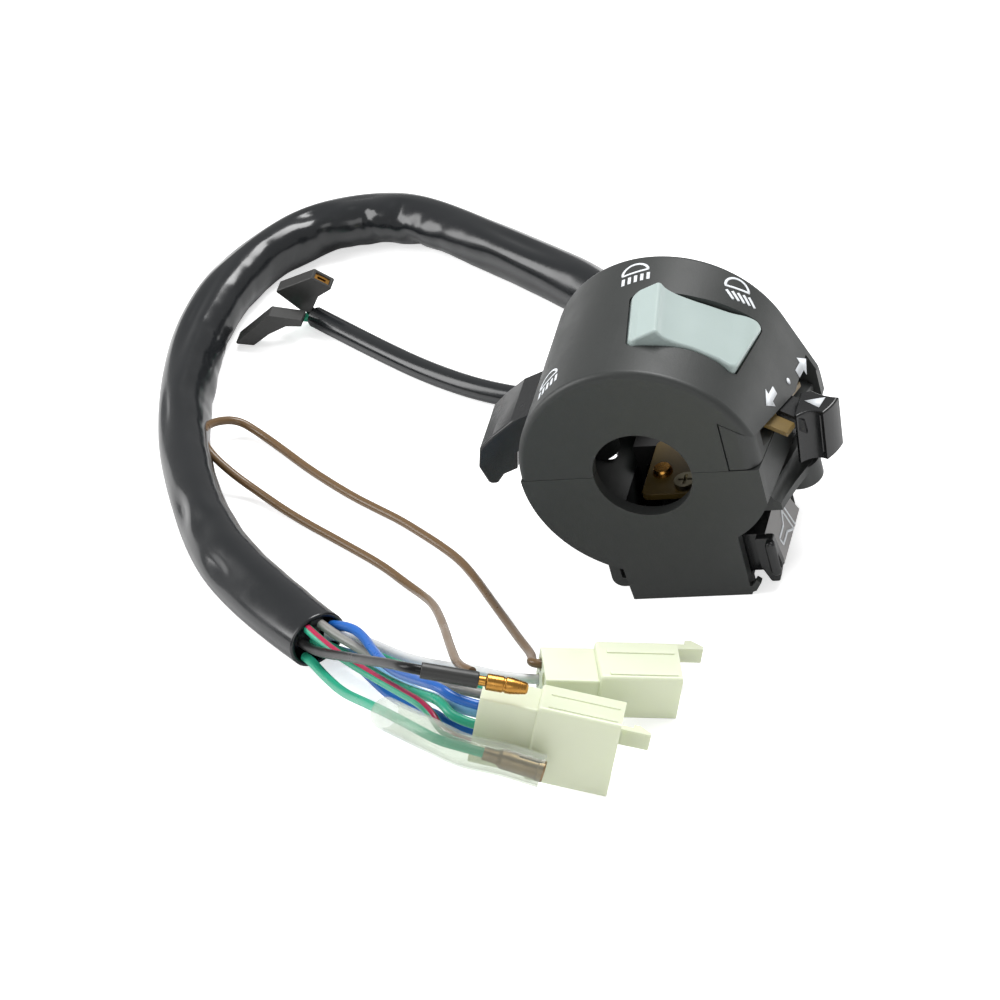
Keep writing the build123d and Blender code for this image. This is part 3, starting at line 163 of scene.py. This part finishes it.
finish = {
    # black ABS from a spark-eroded tool: dry, slightly warm sheen
    "casing": moulded("mouldedBlackAbs", "#323433", 0.44, mottle=0.05, grainMm=0.45, grainDepth=0.05, specular=0.42),
    "rocker": moulded("greyGreenAbs", "#A9B7B4", 0.33, mottle=0.03, grainMm=1.2, grainDepth=0.008, subsurface=0.1),
    "knob": moulded("glossBlackAbs", "#191A1B", 0.24, mottle=0.08, grainMm=1.0, grainDepth=0.01, specular=0.5),
    "horn": moulded("greyAbs", "#8A8887", 0.42, mottle=0.04, grainMm=0.6, grainDepth=0.03),
    "inner": moulded("blackNylon", "#232323", 0.5, mottle=0.08),
    "phenolic": moulded("phenolicPaper", "#6E5A2C", 0.42, mottle=0.25, grainMm=0.7, grainDepth=0.05, blotchMm=4.0),
    "ink": moulded("printedWhiteInk", "#E4E8EC", 0.5, mottle=0.05, grainMm=0.3, grainDepth=0.02),
    "nylon": moulded("milkyNylon", "#DDE3C9", 0.36, mottle=0.03, grainMm=1.5, grainDepth=0.01, subsurface=0.45,
                     blotchMm=14.0),
    "rubber": moulded("blackPvcMoulding", "#2C2C2B", 0.42, mottle=0.1, grainMm=0.6, grainDepth=0.04),
    "sleeve": moulded("glossPvcTube", "#1D1F21", 0.2, mottle=0.06, grainMm=2.5, grainDepth=0.03, specular=0.55),
    "brass": metal("stampedBrass", "#C9984F", "#9C6B2E", 0.26),
    "dullBrass": metal("tinnedBrass", "#A08A6C", "#6E5B49", 0.38),
    "steel": metal("groundSteel", "#B7B8BA", "#8D8E90", 0.3),
    "zinc": metal("zincPlatedSteel", "#B3AC96", "#8E866C", 0.34),
    "clear": clearVinyl("clearVinylTube"),
}
wireColours = {"blue": "#1F63B8", "green": "#2FA583", "lightBlue": "#86BCE2", "grey": "#8C8B87", "white": "#D8DADA",
               "black": "#161616", "brown": "#6A5236", "red": "#B0224A"}
for wireName, wireHex in wireColours.items():
    # extruded PVC insulation: smooth, waxy gloss
    finish["wire" + wireName[0].upper() + wireName[1:]] = moulded(
        "pvcWire" + wireName[0].upper() + wireName[1:], wireHex, 0.3, mottle=0.05, grainMm=1.5, grainDepth=0.02,
        specular=0.25 if wireName == "black" else 0.5,
        subsurface=0.0 if wireName in ("black", "brown") else 0.1)
print("materials made")

# cord routes in mm, each from its exit to its far end
routes = {
    "main_sleeve": [(-4, 32, -25), (-4, 52, -25), (-12, 78, -27), (-32, 102, -28.3), (-58, 122, -28.3), (-82,
        138.5, -28.3), (-96.5, 145.3, -28.3), (-111, 145.8, -28.3), (-123.7, 139.9, -28.3), (-132.5, 129,
        -28.3), (-137.1, 114.7, -28.3), (-138.6, 92.8, -28.3), (-133, 62, -28.3), (-119, 28, -28.3), (-101, 3,
        -28.3), (-78.5, -17.5, -28.3)],
    "clutch_sleeve": [(-18.4, 38, -12), (-18.4, 50.6, -12), (-24, 58, -19), (-34, 66, -27), (-47, 72, -32.1),
        (-61, 76.5, -32.1), (-76, 84.5, -32.1), (-92, 95.5, -32.1), (-112, 110.5, -32.1)],
    "wire_blue": [(-75.67, -14.4, -26.8), (-70.7, -16.5, -25.5), (-65.5, -22, -24), (-60.2, -31.1, -21), (-52.3,
        -43, -16.5), (-43, -53.8, -10.5), (-34.2, -62.2, -5.6), (-29.51, -64.97, -7.56), (-23.01, -64.62,
        -10.15)],
    "wire_grey": [(-77.29, -16.17, -24.9), (-73, -19.2, -26), (-67.6, -22.7, -26.5), (-60.8, -28.9, -25.5),
        (-52.4, -37.9, -22), (-41.5, -49.9, -15), (-31.36, -60.7, -7.58), (-23.48, -60.28, -10.72)],
    "wire_green_red": [(-79.51, -18.61, -24.3), (-73.9, -24.4, -24.5), (-68, -29.4, -24.5), (-59.1, -38.3, -22),
        (-48.6, -49.5, -17.5), (-38.8, -60, -13.4), (-34.01, -66.61, -16.4), (-26.59, -66.22, -19.35)],
    "wire_green": [(-79.24, -18.31, -27.3), (-71.3, -21.8, -28.8), (-64.9, -27.5, -28.8), (-55.3, -37, -25.5),
        (-45, -49.2, -18.5), (-35.6, -59.8, -11.5), (-31.3, -65.77, -12.16), (-24.8, -65.42, -14.75)],
    "wire_blue_low": [(-79.58, -18.68, -30.3), (-73.4, -19.1, -31.5), (-68.2, -23, -32), (-63.5, -27.9, -32.5),
        (-57.2, -35.8, -30.5), (-47.8, -46.1, -25.5), (-39, -55.6, -19), (-34.47, -62.28, -16.97), (-27.05,
        -61.88, -19.92)],
    "wire_light_blue": [(-77.56, -16.47, -31.7), (-73.4, -16.3, -33), (-66.8, -20.9, -33), (-58.9, -28.3,
        -31.5), (-49.3, -39.3, -26.5), (-39.3, -51.3, -18.5), (-32.69, -61.48, -12.37), (-25.26, -61.08,
        -15.32)],
    "wire_white": [(-77.22, -16.1, -28.5), (-71.1, -15.5, -29.3), (-65.1, -18.2, -29.8), (-57.3, -23.5, -29.2),
        (-47.4, -30.4, -26.2), (-36.2, -38.4, -21), (-24.46, -44.61, -19.14), (-17.36, -42.13, -21.85)],
    "wire_green_back": [(-75.54, -14.25, -30.3), (-71.6, -14, -32.5), (-65.3, -18.3, -33), (-57.5, -23.3,
        -32.7), (-47, -31.8, -29), (-36, -42, -22), (-22.96, -49.36, -19.54), (-15.86, -46.89, -22.26)],
    "wire_black": [(-81.19, -20.46, -26.5), (-78.98, -22.48, -26.5), (-72, -30, -22.2), (-63.1, -39.7, -15.1),
        (-52.4, -51.9, -6.4), (-43.4, -61.9, 0.9), (-37.31, -67.85, 4.55), (-34.56, -67.47, 3.42)],
    "wire_green_lower": [(-81.33, -20.6, -30.5), (-79.11, -22.63, -30.5), (-74.5, -28.7, -29.5), (-66.5, -39.5,
        -25.5), (-57.3, -50.2, -19.5), (-48.9, -59.6, -14.5), (-40.5, -67.4, -12), (-33.4, -72.2, -12.3),
        (-26.6, -73.13, -14.04), (-23.93, -73.03, -15.42)],
    "wire_brown": [(-15.83, -42, -17.73), (-20.27, -43.55, -16.03), (-21.5, -37, -19.5), (-28.2, -25.6, -24),
        (-35, -13.5, -28.5), (-42.3, -1.5, -31.5), (-48.5, 8.5, -33.4), (-53.8, 15.5, -33.7), (-60, 21.3, -33.7),
        (-66, 26.3, -33.7), (-72, 31.2, -33.7), (-79, 36, -33.7), (-86.8, 41.5, -33.7), (-99.3, 51.8, -33.7),
        (-108, 60, -33.7), (-115.5, 66.5, -33.3), (-121.5, 69.5, -31), (-126, 65, -28), (-126.4, 58.5, -26),
        (-123.2, 52, -26.5), (-117, 47.5, -30), (-110, 43.5, -33), (-99, 34.5, -33.7), (-84, 23.5, -33.7),
        (-72.5, 14.9, -33.7),
        (-65.6, 8.4, -33.7), (-59.3, 1.5, -32), (-53.2, -7.4, -28), (-45.2, -24.3, -20), (-36.1, -45.2, -9.8),
        (-28.9, -60.8, -1.6), (-24.6, -64.49, 0.01)],
}

routes = {key: np.array(points) * mm for key, points in routes.items()}


def nurbsCurve(name, points, radius):
    data = bpy.data.curves.new(name, "CURVE")
    data.dimensions = "3D"
    spline = data.splines.new("NURBS")
    spline.points.add(len(points) - 1)
    spline.points.foreach_set("co", np.c_[points, np.ones(len(points))].ravel())
    spline.order_u = 3
    spline.use_endpoint_u = True
    spline.resolution_u = 10
    data.bevel_depth = radius
    data.bevel_resolution = 5
    data.use_fill_caps = True
    made = bpy.data.objects.new(name, data)
    bpy.context.scene.collection.objects.link(made)
    return made


def centreLine(points, steps):
    # points read from the route's NURBS spline, evenly spaced along it
    probe = nurbsCurve("probe", points, 0.0)
    probe.data.resolution_u = 24
    probe.data.use_fill_caps = False
    line = bpy.data.meshes.new_from_object(probe.evaluated_get(bpy.context.evaluated_depsgraph_get()))
    xyz = np.empty(len(line.vertices) * 3)
    line.vertices.foreach_get("co", xyz)
    xyz = xyz.reshape(-1, 3)
    bpy.data.objects.remove(probe)
    bpy.data.meshes.remove(line)
    run = np.r_[0, np.cumsum(np.linalg.norm(np.diff(xyz, axis=0), axis=1))]
    s = np.linspace(0, run[-1], steps)
    return np.stack([np.interp(s, run, xyz[:, k]) for k in range(3)], 1), s


def tubeFrame(line):
    # side and up directions across a line that stays near level
    along = unit(np.gradient(line, axis=0))
    side = unit(np.cross(along, (0, 0, 1.0)))
    return along, side, np.cross(side, along)


cordFacts = {
    # node: finish, slot, diameter mm, pieces that it carries
    "wire_blue": ("wireBlue", "wire_blue", 2.2, ["connector_front"]),
    "wire_blue_low": ("wireBlue", "wire_blue", 2.2, ["connector_front"]),
    "wire_grey": ("wireGrey", "wire_grey", 2.2, ["connector_front"]),
    "wire_green_red": ("wireGreen", "wire_green", 2.2, ["connector_front"]),
    "wire_green": ("wireGreen", "wire_green", 2.2, ["connector_front"]),
    "wire_light_blue": ("wireLightBlue", "wire_light_blue", 2.2, ["connector_front"]),
    "wire_green_back": ("wireGreen", "wire_green", 2.2, ["connector_back"]),
    "wire_white": ("wireWhite", "wire_white", 2.2, ["connector_back"]),
    "wire_black": ("wireBlack", "wire_black", 2.2, ["bullet_male"]),
    "wire_green_lower": ("wireGreen", "wire_green", 2.2, ["bullet_receptacle"]),
    "wire_brown": ("wireBrown", "wire_brown", 2.0, ["bullet_sleeve"]),
}


def splineLength(points):
    line, s = centreLine(points, 200)
    return float(s[-1])


cordPieces = {}
for node, (kind, slotName, diameter, carried) in cordFacts.items():
    piece = nurbsCurve(node + "Cord", routes[node], diameter / 2 * mm)
    piece.data.materials.append(finish[kind])
    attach(piece, "casing")
    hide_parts(node)
    cordPieces[node] = piece

sleeve = {
    # thin-walled PVC tube, 13 mm across, that buckles on the inside of its bends
    "radius": 6.5, "rings": 560, "sectors": 72, "flat": 0.75,
    "least": 4.9, "most": 8.2, "floorRoom": 6.45, "mouthRings": 12, "mouthScale": 0.86,
    # buckles: distance along in mm, angle round in degrees, width along, width round, depth
    "dents": [(44, 60, 16, 24, 1.3), (62, 110, 12, 18, 1.1), (80, 55, 10, 22, 1.0), (112, 95, 14, 15, 1.0),
              (140, 40, 12, 18, 1.2), (166, 80, 7, 26, 0.9), (178, 105, 6, 22, 0.9), (196, 50, 9, 20, 1.1),
              (228, 85, 16, 14, 1.0), (262, 60, 10, 18, 0.9), (300, 40, 6, 26, 1.1), (312, 75, 5, 24, 0.9),
              (326, 35, 6, 22, 0.9)],
}


def sleeveMesh(name, points, spec, material):
    # radius(s, angle) = r (1 + flattening + long folds + dents), carried along the route
    line, s = centreLine(points, spec["rings"])
    along, side, up = tubeFrame(line)
    angle = np.linspace(0, 2 * np.pi, spec["sectors"], endpoint=False)
    S, A = np.meshgrid(s / mm, angle, indexing="ij")
    r = np.full_like(S, spec["radius"])
    turn = np.gradient(np.unwrap(np.arctan2(along[:, 1], along[:, 0])), s)   # bend per metre, in plan
    k = np.convolve(turn, np.ones(9) / 9, "same")[:, None]
    inner = np.clip(np.sign(-k) * np.cos(A), 0, 1)                # the side that the bend squeezes
    bend = np.clip(np.abs(k) / 30.0, 0, 1)
    gather = 0.3 + 0.7 * np.sin(S / 37 + 1.0) ** 2                # folds bunch up in places
    for period, depth, lean, phase in ((15.0, 0.42, 0.9, 0.4), (9.3, 0.22, -1.6, 2.0), (26.0, 0.5, 0.5, 4.1)):
        wave = np.cos(2 * np.pi * S / period + lean * A + 1.2 * np.sin(S / 13 + phase) + phase)
        r -= depth * bend * gather * inner ** 0.8 * (0.5 - 0.5 * wave) ** 2 * 2.2
    r += spec["flat"] * np.cos(2 * (A - S / 58.0)) * (0.55 + 0.45 * np.sin(S / 41))
    r += 0.3 * np.abs(np.cos(1.5 * A + S / 33.0 + 0.8 * np.sin(S / 21))) ** 3 - 0.12 * np.cos(3 * A - S / 12.0)
    for at, theta, lengthMm, widthDeg, depth in spec["dents"]:
        da = (A - np.radians(theta) + np.pi) % (2 * np.pi) - np.pi
        r -= depth * np.exp(-((S - at) / lengthMm) ** 2 - (da / np.radians(widthDeg)) ** 2)
    r = np.clip(r, spec["least"], spec["most"])
    rise = np.maximum(r * np.sin(A), -spec["floorRoom"])          # it rests on the floor, and doesn't sink in
    xyz = line[:, None] + mm * (r * np.cos(A))[..., None] * side[:, None] + mm * rise[..., None] * up[:, None]
    # the mouth's wall turns in, and the tube stays hollow a short way
    deep = spec["mouthRings"]
    axis = line[-deep:][::-1][:, None]
    inside = axis + spec["mouthScale"] * (xyz[-deep:][::-1] - axis)
    capCentre = line[-deep]
    rows = np.concatenate([xyz, inside], 0)
    verts = np.r_[rows.reshape(-1, 3), [line[0]], [capCentre]]
    n, m = rows.shape[:2]
    faces = [tuple(f[::-1]) for f in gridFaces(n, m)]
    faces += [(n * m, j, (j + 1) % m) for j in range(m)]
    last = (n - 1) * m
    faces += [(n * m + 1, last + (j + 1) % m, last + j) for j in range(m)]
    piece = meshObject(name, verts, faces, material)
    return piece, line


mainSleeve, mainLine = sleeveMesh("mainSleeveTube", routes["main_sleeve"], sleeve, finish["sleeve"])
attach(mainSleeve, "casing")
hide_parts("main_sleeve")
clutchSleeve = nurbsCurve("clutchSleeveTube", routes["clutch_sleeve"], 2.65 * mm)
clutchSleeve.data.materials.append(finish["sleeve"])
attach(clutchSleeve, "casing")
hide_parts("clutch_sleeve")
print("cords laid")


def dressed(node, material, bevel=0.25, angle=35, body=None, slot=None, segments=2):
    # a merged copy of a CAD node with softened edges, shown in its place
    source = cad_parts[node]
    data = source.data.copy()
    data.name = node + "Shell"
    work = bmesh.new()
    work.from_mesh(data)
    bmesh.ops.remove_doubles(work, verts=work.verts, dist=0.004 * mm)
    bmesh.ops.dissolve_limit(work, angle_limit=np.radians(0.6), verts=work.verts, edges=work.edges)
    work.to_mesh(data)
    work.free()
    data.materials.clear()
    data.materials.append(material)
    piece = bpy.data.objects.new(node + "Shell", data)
    bpy.context.scene.collection.objects.link(piece)
    data.polygons.foreach_set("use_smooth", [True] * len(data.polygons))
    if bevel:
        soft = piece.modifiers.new("softEdges", "BEVEL")
        soft.width = bevel * mm
        soft.segments = segments
        soft.limit_method = "ANGLE"
        soft.angle_limit = np.radians(angle)
        soft.use_clamp_overlap = True
        soft.harden_normals = False
    even = piece.modifiers.new("evenShading", "WEIGHTED_NORMAL")
    even.keep_sharp = True
    bpy.context.view_layer.objects.active = piece
    with bpy.context.temp_override(object=piece, active_object=piece, selected_editable_objects=[piece]):
        bpy.ops.object.shade_smooth_by_angle(angle=np.radians(32), keep_sharp_edges=False)
    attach(piece, body or "casing")
    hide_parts(node)
    return piece


shells = {
    # node: finish, softening mm, body, slot
    "upper_housing": ("casing", 0.35, "casing", "casing"),
    "lower_housing": ("casing", 0.35, "casing", "casing"),
    "turn_switch_base": ("casing", 0.3, "casing", "casing"),
    "dimmer_rocker": ("rocker", 0.35, "rocker", "rocker_grey"),
    "turn_knob": ("knob", 0.12, "turn_slider", "knob_black"),
    "turn_slide_plate": ("phenolic", 0.1, "turn_slider", "phenolic"),
    "horn_button": ("horn", 0.25, "horn_lever", "horn_grey"),
    "passing_trigger": ("knob", 0.4, "flash_trigger", "knob_black"),
    "connector_front": ("nylon", 0.2, "casing", "connector_nylon"),
    "connector_back": ("nylon", 0.2, "casing", "connector_nylon"),
    "clutch_boot_a": ("rubber", 0.35, "casing", "black_rubber"),
    "clutch_boot_b": ("rubber", 0.35, "casing", "black_rubber"),
    "bullet_male": ("brass", 0.06, "casing", "brass_bright"),
    "bullet_sleeve": ("rubber", 0.15, "casing", "black_rubber"),
    "bullet_receptacle": ("dullBrass", 0.08, "casing", "brass_dull"),
    "contact_plate": ("phenolic", 0.15, "casing", "phenolic"),
    "contact_screw": ("zinc", 0.12, "casing", "zinc_steel"),
    "casing_screws": ("zinc", 0.2, "casing", "zinc_steel"),
}
shellPieces = {}
for node, (kind, soft, body, slotName) in shells.items():
    shellPieces[node] = dressed(node, finish[kind], soft, body=body, slot=slotName)
kept = {
    "dimmer_pivot_pin": "steel", "dimmer_base": "inner", "dimmer_detent_ball": "steel", "dimmer_detent_spring": "steel",
    "turn_detent_ball": "steel", "horn_pivot_pin": "steel", "horn_spring": "steel", "trigger_pivot_pin": "steel",
    "passing_spring": "steel", "contact_rivets": "brass", "sleeve_clamp": "inner", "terminals_back": "brass",
    "terminals_front": "brass", "clutch_terminal_a": "brass", "clutch_terminal_b": "brass",
    "clutch_lead_a": "wireBlack", "clutch_lead_b": "wireGreen", "clear_sleeve": "clear",
}
for node, kind in kept.items():
    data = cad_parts[node].data
    data.materials.clear()
    data.materials.append(finish[kind])
print("casing and controls dressed")

# white prints: shapes in mm on a flat chart, laid on the drum or on a flat side
drum = {"radius": 28.0, "lift": 0.05, "line": 0.62}


def strip(points, width):
    # a ribbon of short quads along a chart line, its joints mitred
    points = np.asarray(points, float)
    closed = np.allclose(points[0], points[-1])
    fine = [points[0]]
    for a, b in zip(points[:-1], points[1:]):
        count = max(1, int(np.ceil(np.linalg.norm(b - a) / 0.5)))
        fine += [a + (b - a) * t / count for t in range(1, count + 1)]
    fine = np.array(fine)
    step = np.gradient(fine, axis=0)
    if closed:
        step[0] = step[-1] = fine[1] - fine[-2]
    across = unit(np.c_[-step[:, 1], step[:, 0]]) * width / 2
    n = len(fine)
    quads = [(i, i + 1, n + i + 1, n + i) for i in range(n - 1)]
    return np.r_[fine + across, fine - across], quads


def onDrum(arc, y, lean=0.28):
    # chart (u, v) to the drum's surface, turned by the lean of the marks
    r = drum["radius"] + drum["lift"]

    def place(uv):
        s = 0.96 * uv[:, 0] - lean * uv[:, 1] + np.radians(arc) * r
        yy = lean * uv[:, 0] + 0.96 * uv[:, 1] + y
        return np.c_[r * np.sin(s / r), yy, r * np.cos(s / r)]
    return place


def onPlane(origin, right, up, lift=0.05):
    origin, right, up = np.array(origin, float), unit(right), unit(up)
    normal = np.cross(right, up)
    return lambda uv: origin + uv[:, :1] * right + uv[:, 1:] * up + lift * normal


def printed(name, shapes, place, body="casing"):
    verts, faces = [], []
    for kind, outline, width in shapes:
        if kind == "line":
            uv, found = strip(outline, width)
        else:
            uv = np.asarray(outline, float)
            found = [tuple(range(len(uv)))]
        start = sum(len(v) for v in verts)
        verts.append(place(uv))
        faces += [tuple(start + i for i in f) for f in found]
    piece = meshObject(name, np.concatenate(verts) * mm, faces, finish["ink"])
    work = bmesh.new()
    work.from_mesh(piece.data)
    bmesh.ops.recalc_face_normals(work, faces=work.faces)
    away = np.concatenate(verts).mean(0) * (1, 0, 1)
    if sum((f.normal.x * away[0] + f.normal.z * away[2]) * f.calc_area() for f in work.faces) < 0:
        bmesh.ops.reverse_faces(work, faces=work.faces)
    work.to_mesh(piece.data)
    work.free()
    ink = piece.modifiers.new("inkFilm", "SOLIDIFY")
    ink.thickness = 0.06 * mm
    ink.offset = 0.0
    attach(piece, body)
    return piece


turnDome = np.radians(np.linspace(0, 180, 17))
dome = [(3.0 * np.cos(a), 0.9 + 3.1 * np.sin(a)) for a in turnDome] + [(3.0, 0.9)]
beams = {
    # name: arc degrees, place along the bar, slant of the dashes
    "highBeamPrint": (-5.5, 36.5, 0.35),
    "lowBeamPrint": (42.6, 37.8, -1.5),
    "flashBeamPrint": (-41.0, 7.5, 0.35),
}
dashes = {"first": -2.9, "step": 1.45, "count": 5, "top": -0.4, "low": -2.9, "width": 0.74}
for name, (arc, y, slant) in beams.items():
    shapes = [("line", dome, drum["line"])]
    for k in range(dashes["count"]):
        u = dashes["first"] + dashes["step"] * k
        shapes.append(("line", [(u, dashes["top"]), (u - slant, dashes["low"])], dashes["width"]))
    printed(name, shapes, onDrum(arc, y))
arrow = [(-3.6, 1.0), (0.0, 1.0), (0.0, 2.3), (3.6, 0.0), (0.0, -2.3), (0.0, -1.0), (-3.6, -1.0)]
dot = [(0.75 * np.cos(a), 0.75 * np.sin(a)) for a in np.linspace(0, 2 * np.pi, 18, endpoint=False)]
sidePlane = {"normal": (0.9397, 0, 0.342), "along": (0.062, 0.985, -0.17)}
acrossMark = np.cross(sidePlane["normal"], sidePlane["along"])
marks = {
    # name: shape, centre, way that it points along the slot
    "leftArrowPrint": (arrow, (27.35, 16.8, 6.75), -1),
    "middleDotPrint": (dot, (28.75, 27.5, 3.0), 1),
    "rightArrowPrint": (arrow, (29.7, 36.3, 0.3), 1),
}
for name, (shape, centre, sign) in marks.items():
    printed(name, [("area", shape, 0)], onPlane(centre, np.array(sidePlane["along"]) * sign, acrossMark * sign))
knobTop = {"triangle": [(32.8, 22.95), (37.4, 23.8), (36.55, 20.2)], "height": 0.82}
printed("knobTrianglePrint", [("area", knobTop["triangle"], 0)],
        lambda uv: np.c_[uv, np.full(len(uv), knobTop["height"])], "turn_slider")
hornFace = {"centre": (24.62, 13.2, -26.6), "along": (0, 1, 0), "up": (-0.31, 0, 0.951)}
bell = [(-5.2, 0.9), (-0.6, 0.9), (2.6, 2.9), (2.6, -2.9), (-0.6, -0.9), (-5.2, -0.9), (-5.2, 0.9)]
printed("hornPrint", [("line", bell, 0.6), ("line", [(4.2, 3.1), (4.2, -3.1)], 0.6)],
        onPlane(hornFace["centre"], hornFace["along"], hornFace["up"], 0.12), "horn_lever")

# red tracer along the green wire that has one: a band a quarter of the way round
tracer = {"wire": "wire_green_red", "width": 62.0, "lean": 95.0, "lift": 0.03}
line, run = centreLine(routes[tracer["wire"]], 160)
along, side, up = tubeFrame(line)
angle = np.radians(tracer["lean"] + np.linspace(-tracer["width"] / 2, tracer["width"] / 2, 9))
ring = (1.1 + tracer["lift"]) * mm
out = np.cos(angle)[None, :, None] * side[:, None] + np.sin(angle)[None, :, None] * up[:, None]
band = line[:, None] + ring * out
redStripe = meshObject("redTracer", band.reshape(-1, 3), gridFaces(len(line), len(angle), closed=False)[:, ::-1],
                       finish["wireRed"])
film = redStripe.modifiers.new("tracerFilm", "SOLIDIFY")
film.thickness = 0.05 * mm
film.offset = 0.0
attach(redStripe, "casing")
print("prints and tracer laid")

# the lever is moulded black with a grey thumb face
thumbFace = {"starts": 5.0, "leastNormal": 0.6}
lever = shellPieces["horn_button"].data
lever.materials.append(finish["knob"])
for face in lever.polygons:
    if face.center.y / mm < thumbFace["starts"] or face.normal.x < thumbFace["leastNormal"]:
        face.material_index = 1

# look up the pieces each cord carries, its start point and the cords' lengths; none of it is kept
for node, piece in cordPieces.items():
    _, _, diameter, carried = cordFacts[node]
    names = [shellPieces[c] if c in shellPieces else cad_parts[c] for c in carried]
    tuple(routes[node][0])
    splineLength(routes[node])
splineLength(routes["main_sleeve"])
[tuple(p) for p in mainLine]
splineLength(routes["clutch_sleeve"])

# camera, read from the photograph's perspective of the round casing
view = {"place": (331.45, -895.7, 696.28), "right": (0.951, 0.211, -0.226), "down": (-0.046, -0.627, -0.777),
        "lens": 194.4}
right = unit(view["right"])
back = unit(np.cross(right, -unit(view["down"])))
camera = bpy.data.objects.new("camera", bpy.data.cameras.new("camera"))
bpy.context.scene.collection.objects.link(camera)
turned = Matrix(np.stack([right, np.cross(back, right), back], 1).tolist()).to_4x4()
camera.matrix_world = Matrix.Translation(np.array(view["place"]) * mm) @ turned
camera.data.lens = view["lens"]
camera.data.sensor_width = 36
camera.data.clip_start = 0.05
camera.data.clip_end = 30
bpy.context.scene.camera = camera

# floor: plain white to the camera, a soft grey to everything else
floor = {"half": 3, "z": -34.85 * mm}
corners = [(x * floor["half"], y * floor["half"], floor["z"]) for x, y in ((-1, -1), (1, -1), (1, 1), (-1, 1))]
floorPlate = meshObject("floorPlate", corners, [(0, 1, 2, 3)], bpy.data.materials.new("paperFloor"))
paper = floorPlate.data.materials[0]
paper.use_nodes = True
tree = paper.node_tree
tree.nodes.clear()
matte = addNode(tree, "ShaderNodeBsdfDiffuse", {"Color": linear("#F4F4F4")})
glow = addNode(tree, "ShaderNodeEmission", {"Color": (1, 1, 1, 1), "Strength": 0.62})
both = addNode(tree, "ShaderNodeAddShader")
tree.links.new(matte.outputs[0], both.inputs[0])
tree.links.new(glow.outputs[0], both.inputs[1])
seen = addNode(tree, "ShaderNodeLightPath")
pick = addNode(tree, "ShaderNodeMixShader", {"Fac": (seen, "Is Camera Ray")})
tree.links.new(matte.outputs[0], pick.inputs[1])
tree.links.new(both.outputs[0], pick.inputs[2])
addNode(tree, "ShaderNodeOutputMaterial", {"Surface": (pick, "Shader")})

world = bpy.data.worlds.new("studio")
bpy.context.scene.world = world
world.use_nodes = True
tree = world.node_tree
tree.nodes.clear()
seen = addNode(tree, "ShaderNodeLightPath")
strength = addNode(tree, "ShaderNodeMapRange", {"Value": (seen, "Is Camera Ray"), "To Min": 0.42, "To Max": 1.0})
sky = addNode(tree, "ShaderNodeBackground", {"Color": (1, 1, 1, 1), "Strength": (strength, "Result")})
addNode(tree, "ShaderNodeOutputWorld", {"Surface": (sky, "Background")})

lamps = {
    # name: place, aims at, size m, watts
    "keyBox": ((0.25, 0.55, 0.95), (0, 0, 0), (0.7, 0.5), 13.0),
    "leftBox": ((-0.9, -0.1, 0.55), (-0.05, 0.03, 0), (0.5, 0.8), 7.0),
    "frontFill": ((0.2, -1.1, 0.5), (0, 0, 0), (0.8, 0.5), 2.2),
}
for name, (place, aim, size, watts) in lamps.items():
    data = bpy.data.lights.new(name, "AREA")
    data.shape = "RECTANGLE"
    data.size, data.size_y = size
    data.energy = watts
    lamp = bpy.data.objects.new(name, data)
    z = unit(np.array(place) - aim)
    x = unit(np.cross((0, 0, 1.0), z))
    turned = Matrix(np.stack([x, np.cross(z, x), z], 1).tolist()).to_4x4()
    lamp.matrix_world = Matrix.Translation(place) @ turned
    bpy.context.scene.collection.objects.link(lamp)
bpy.context.scene.view_settings.view_transform = "Standard"
print("studio set")
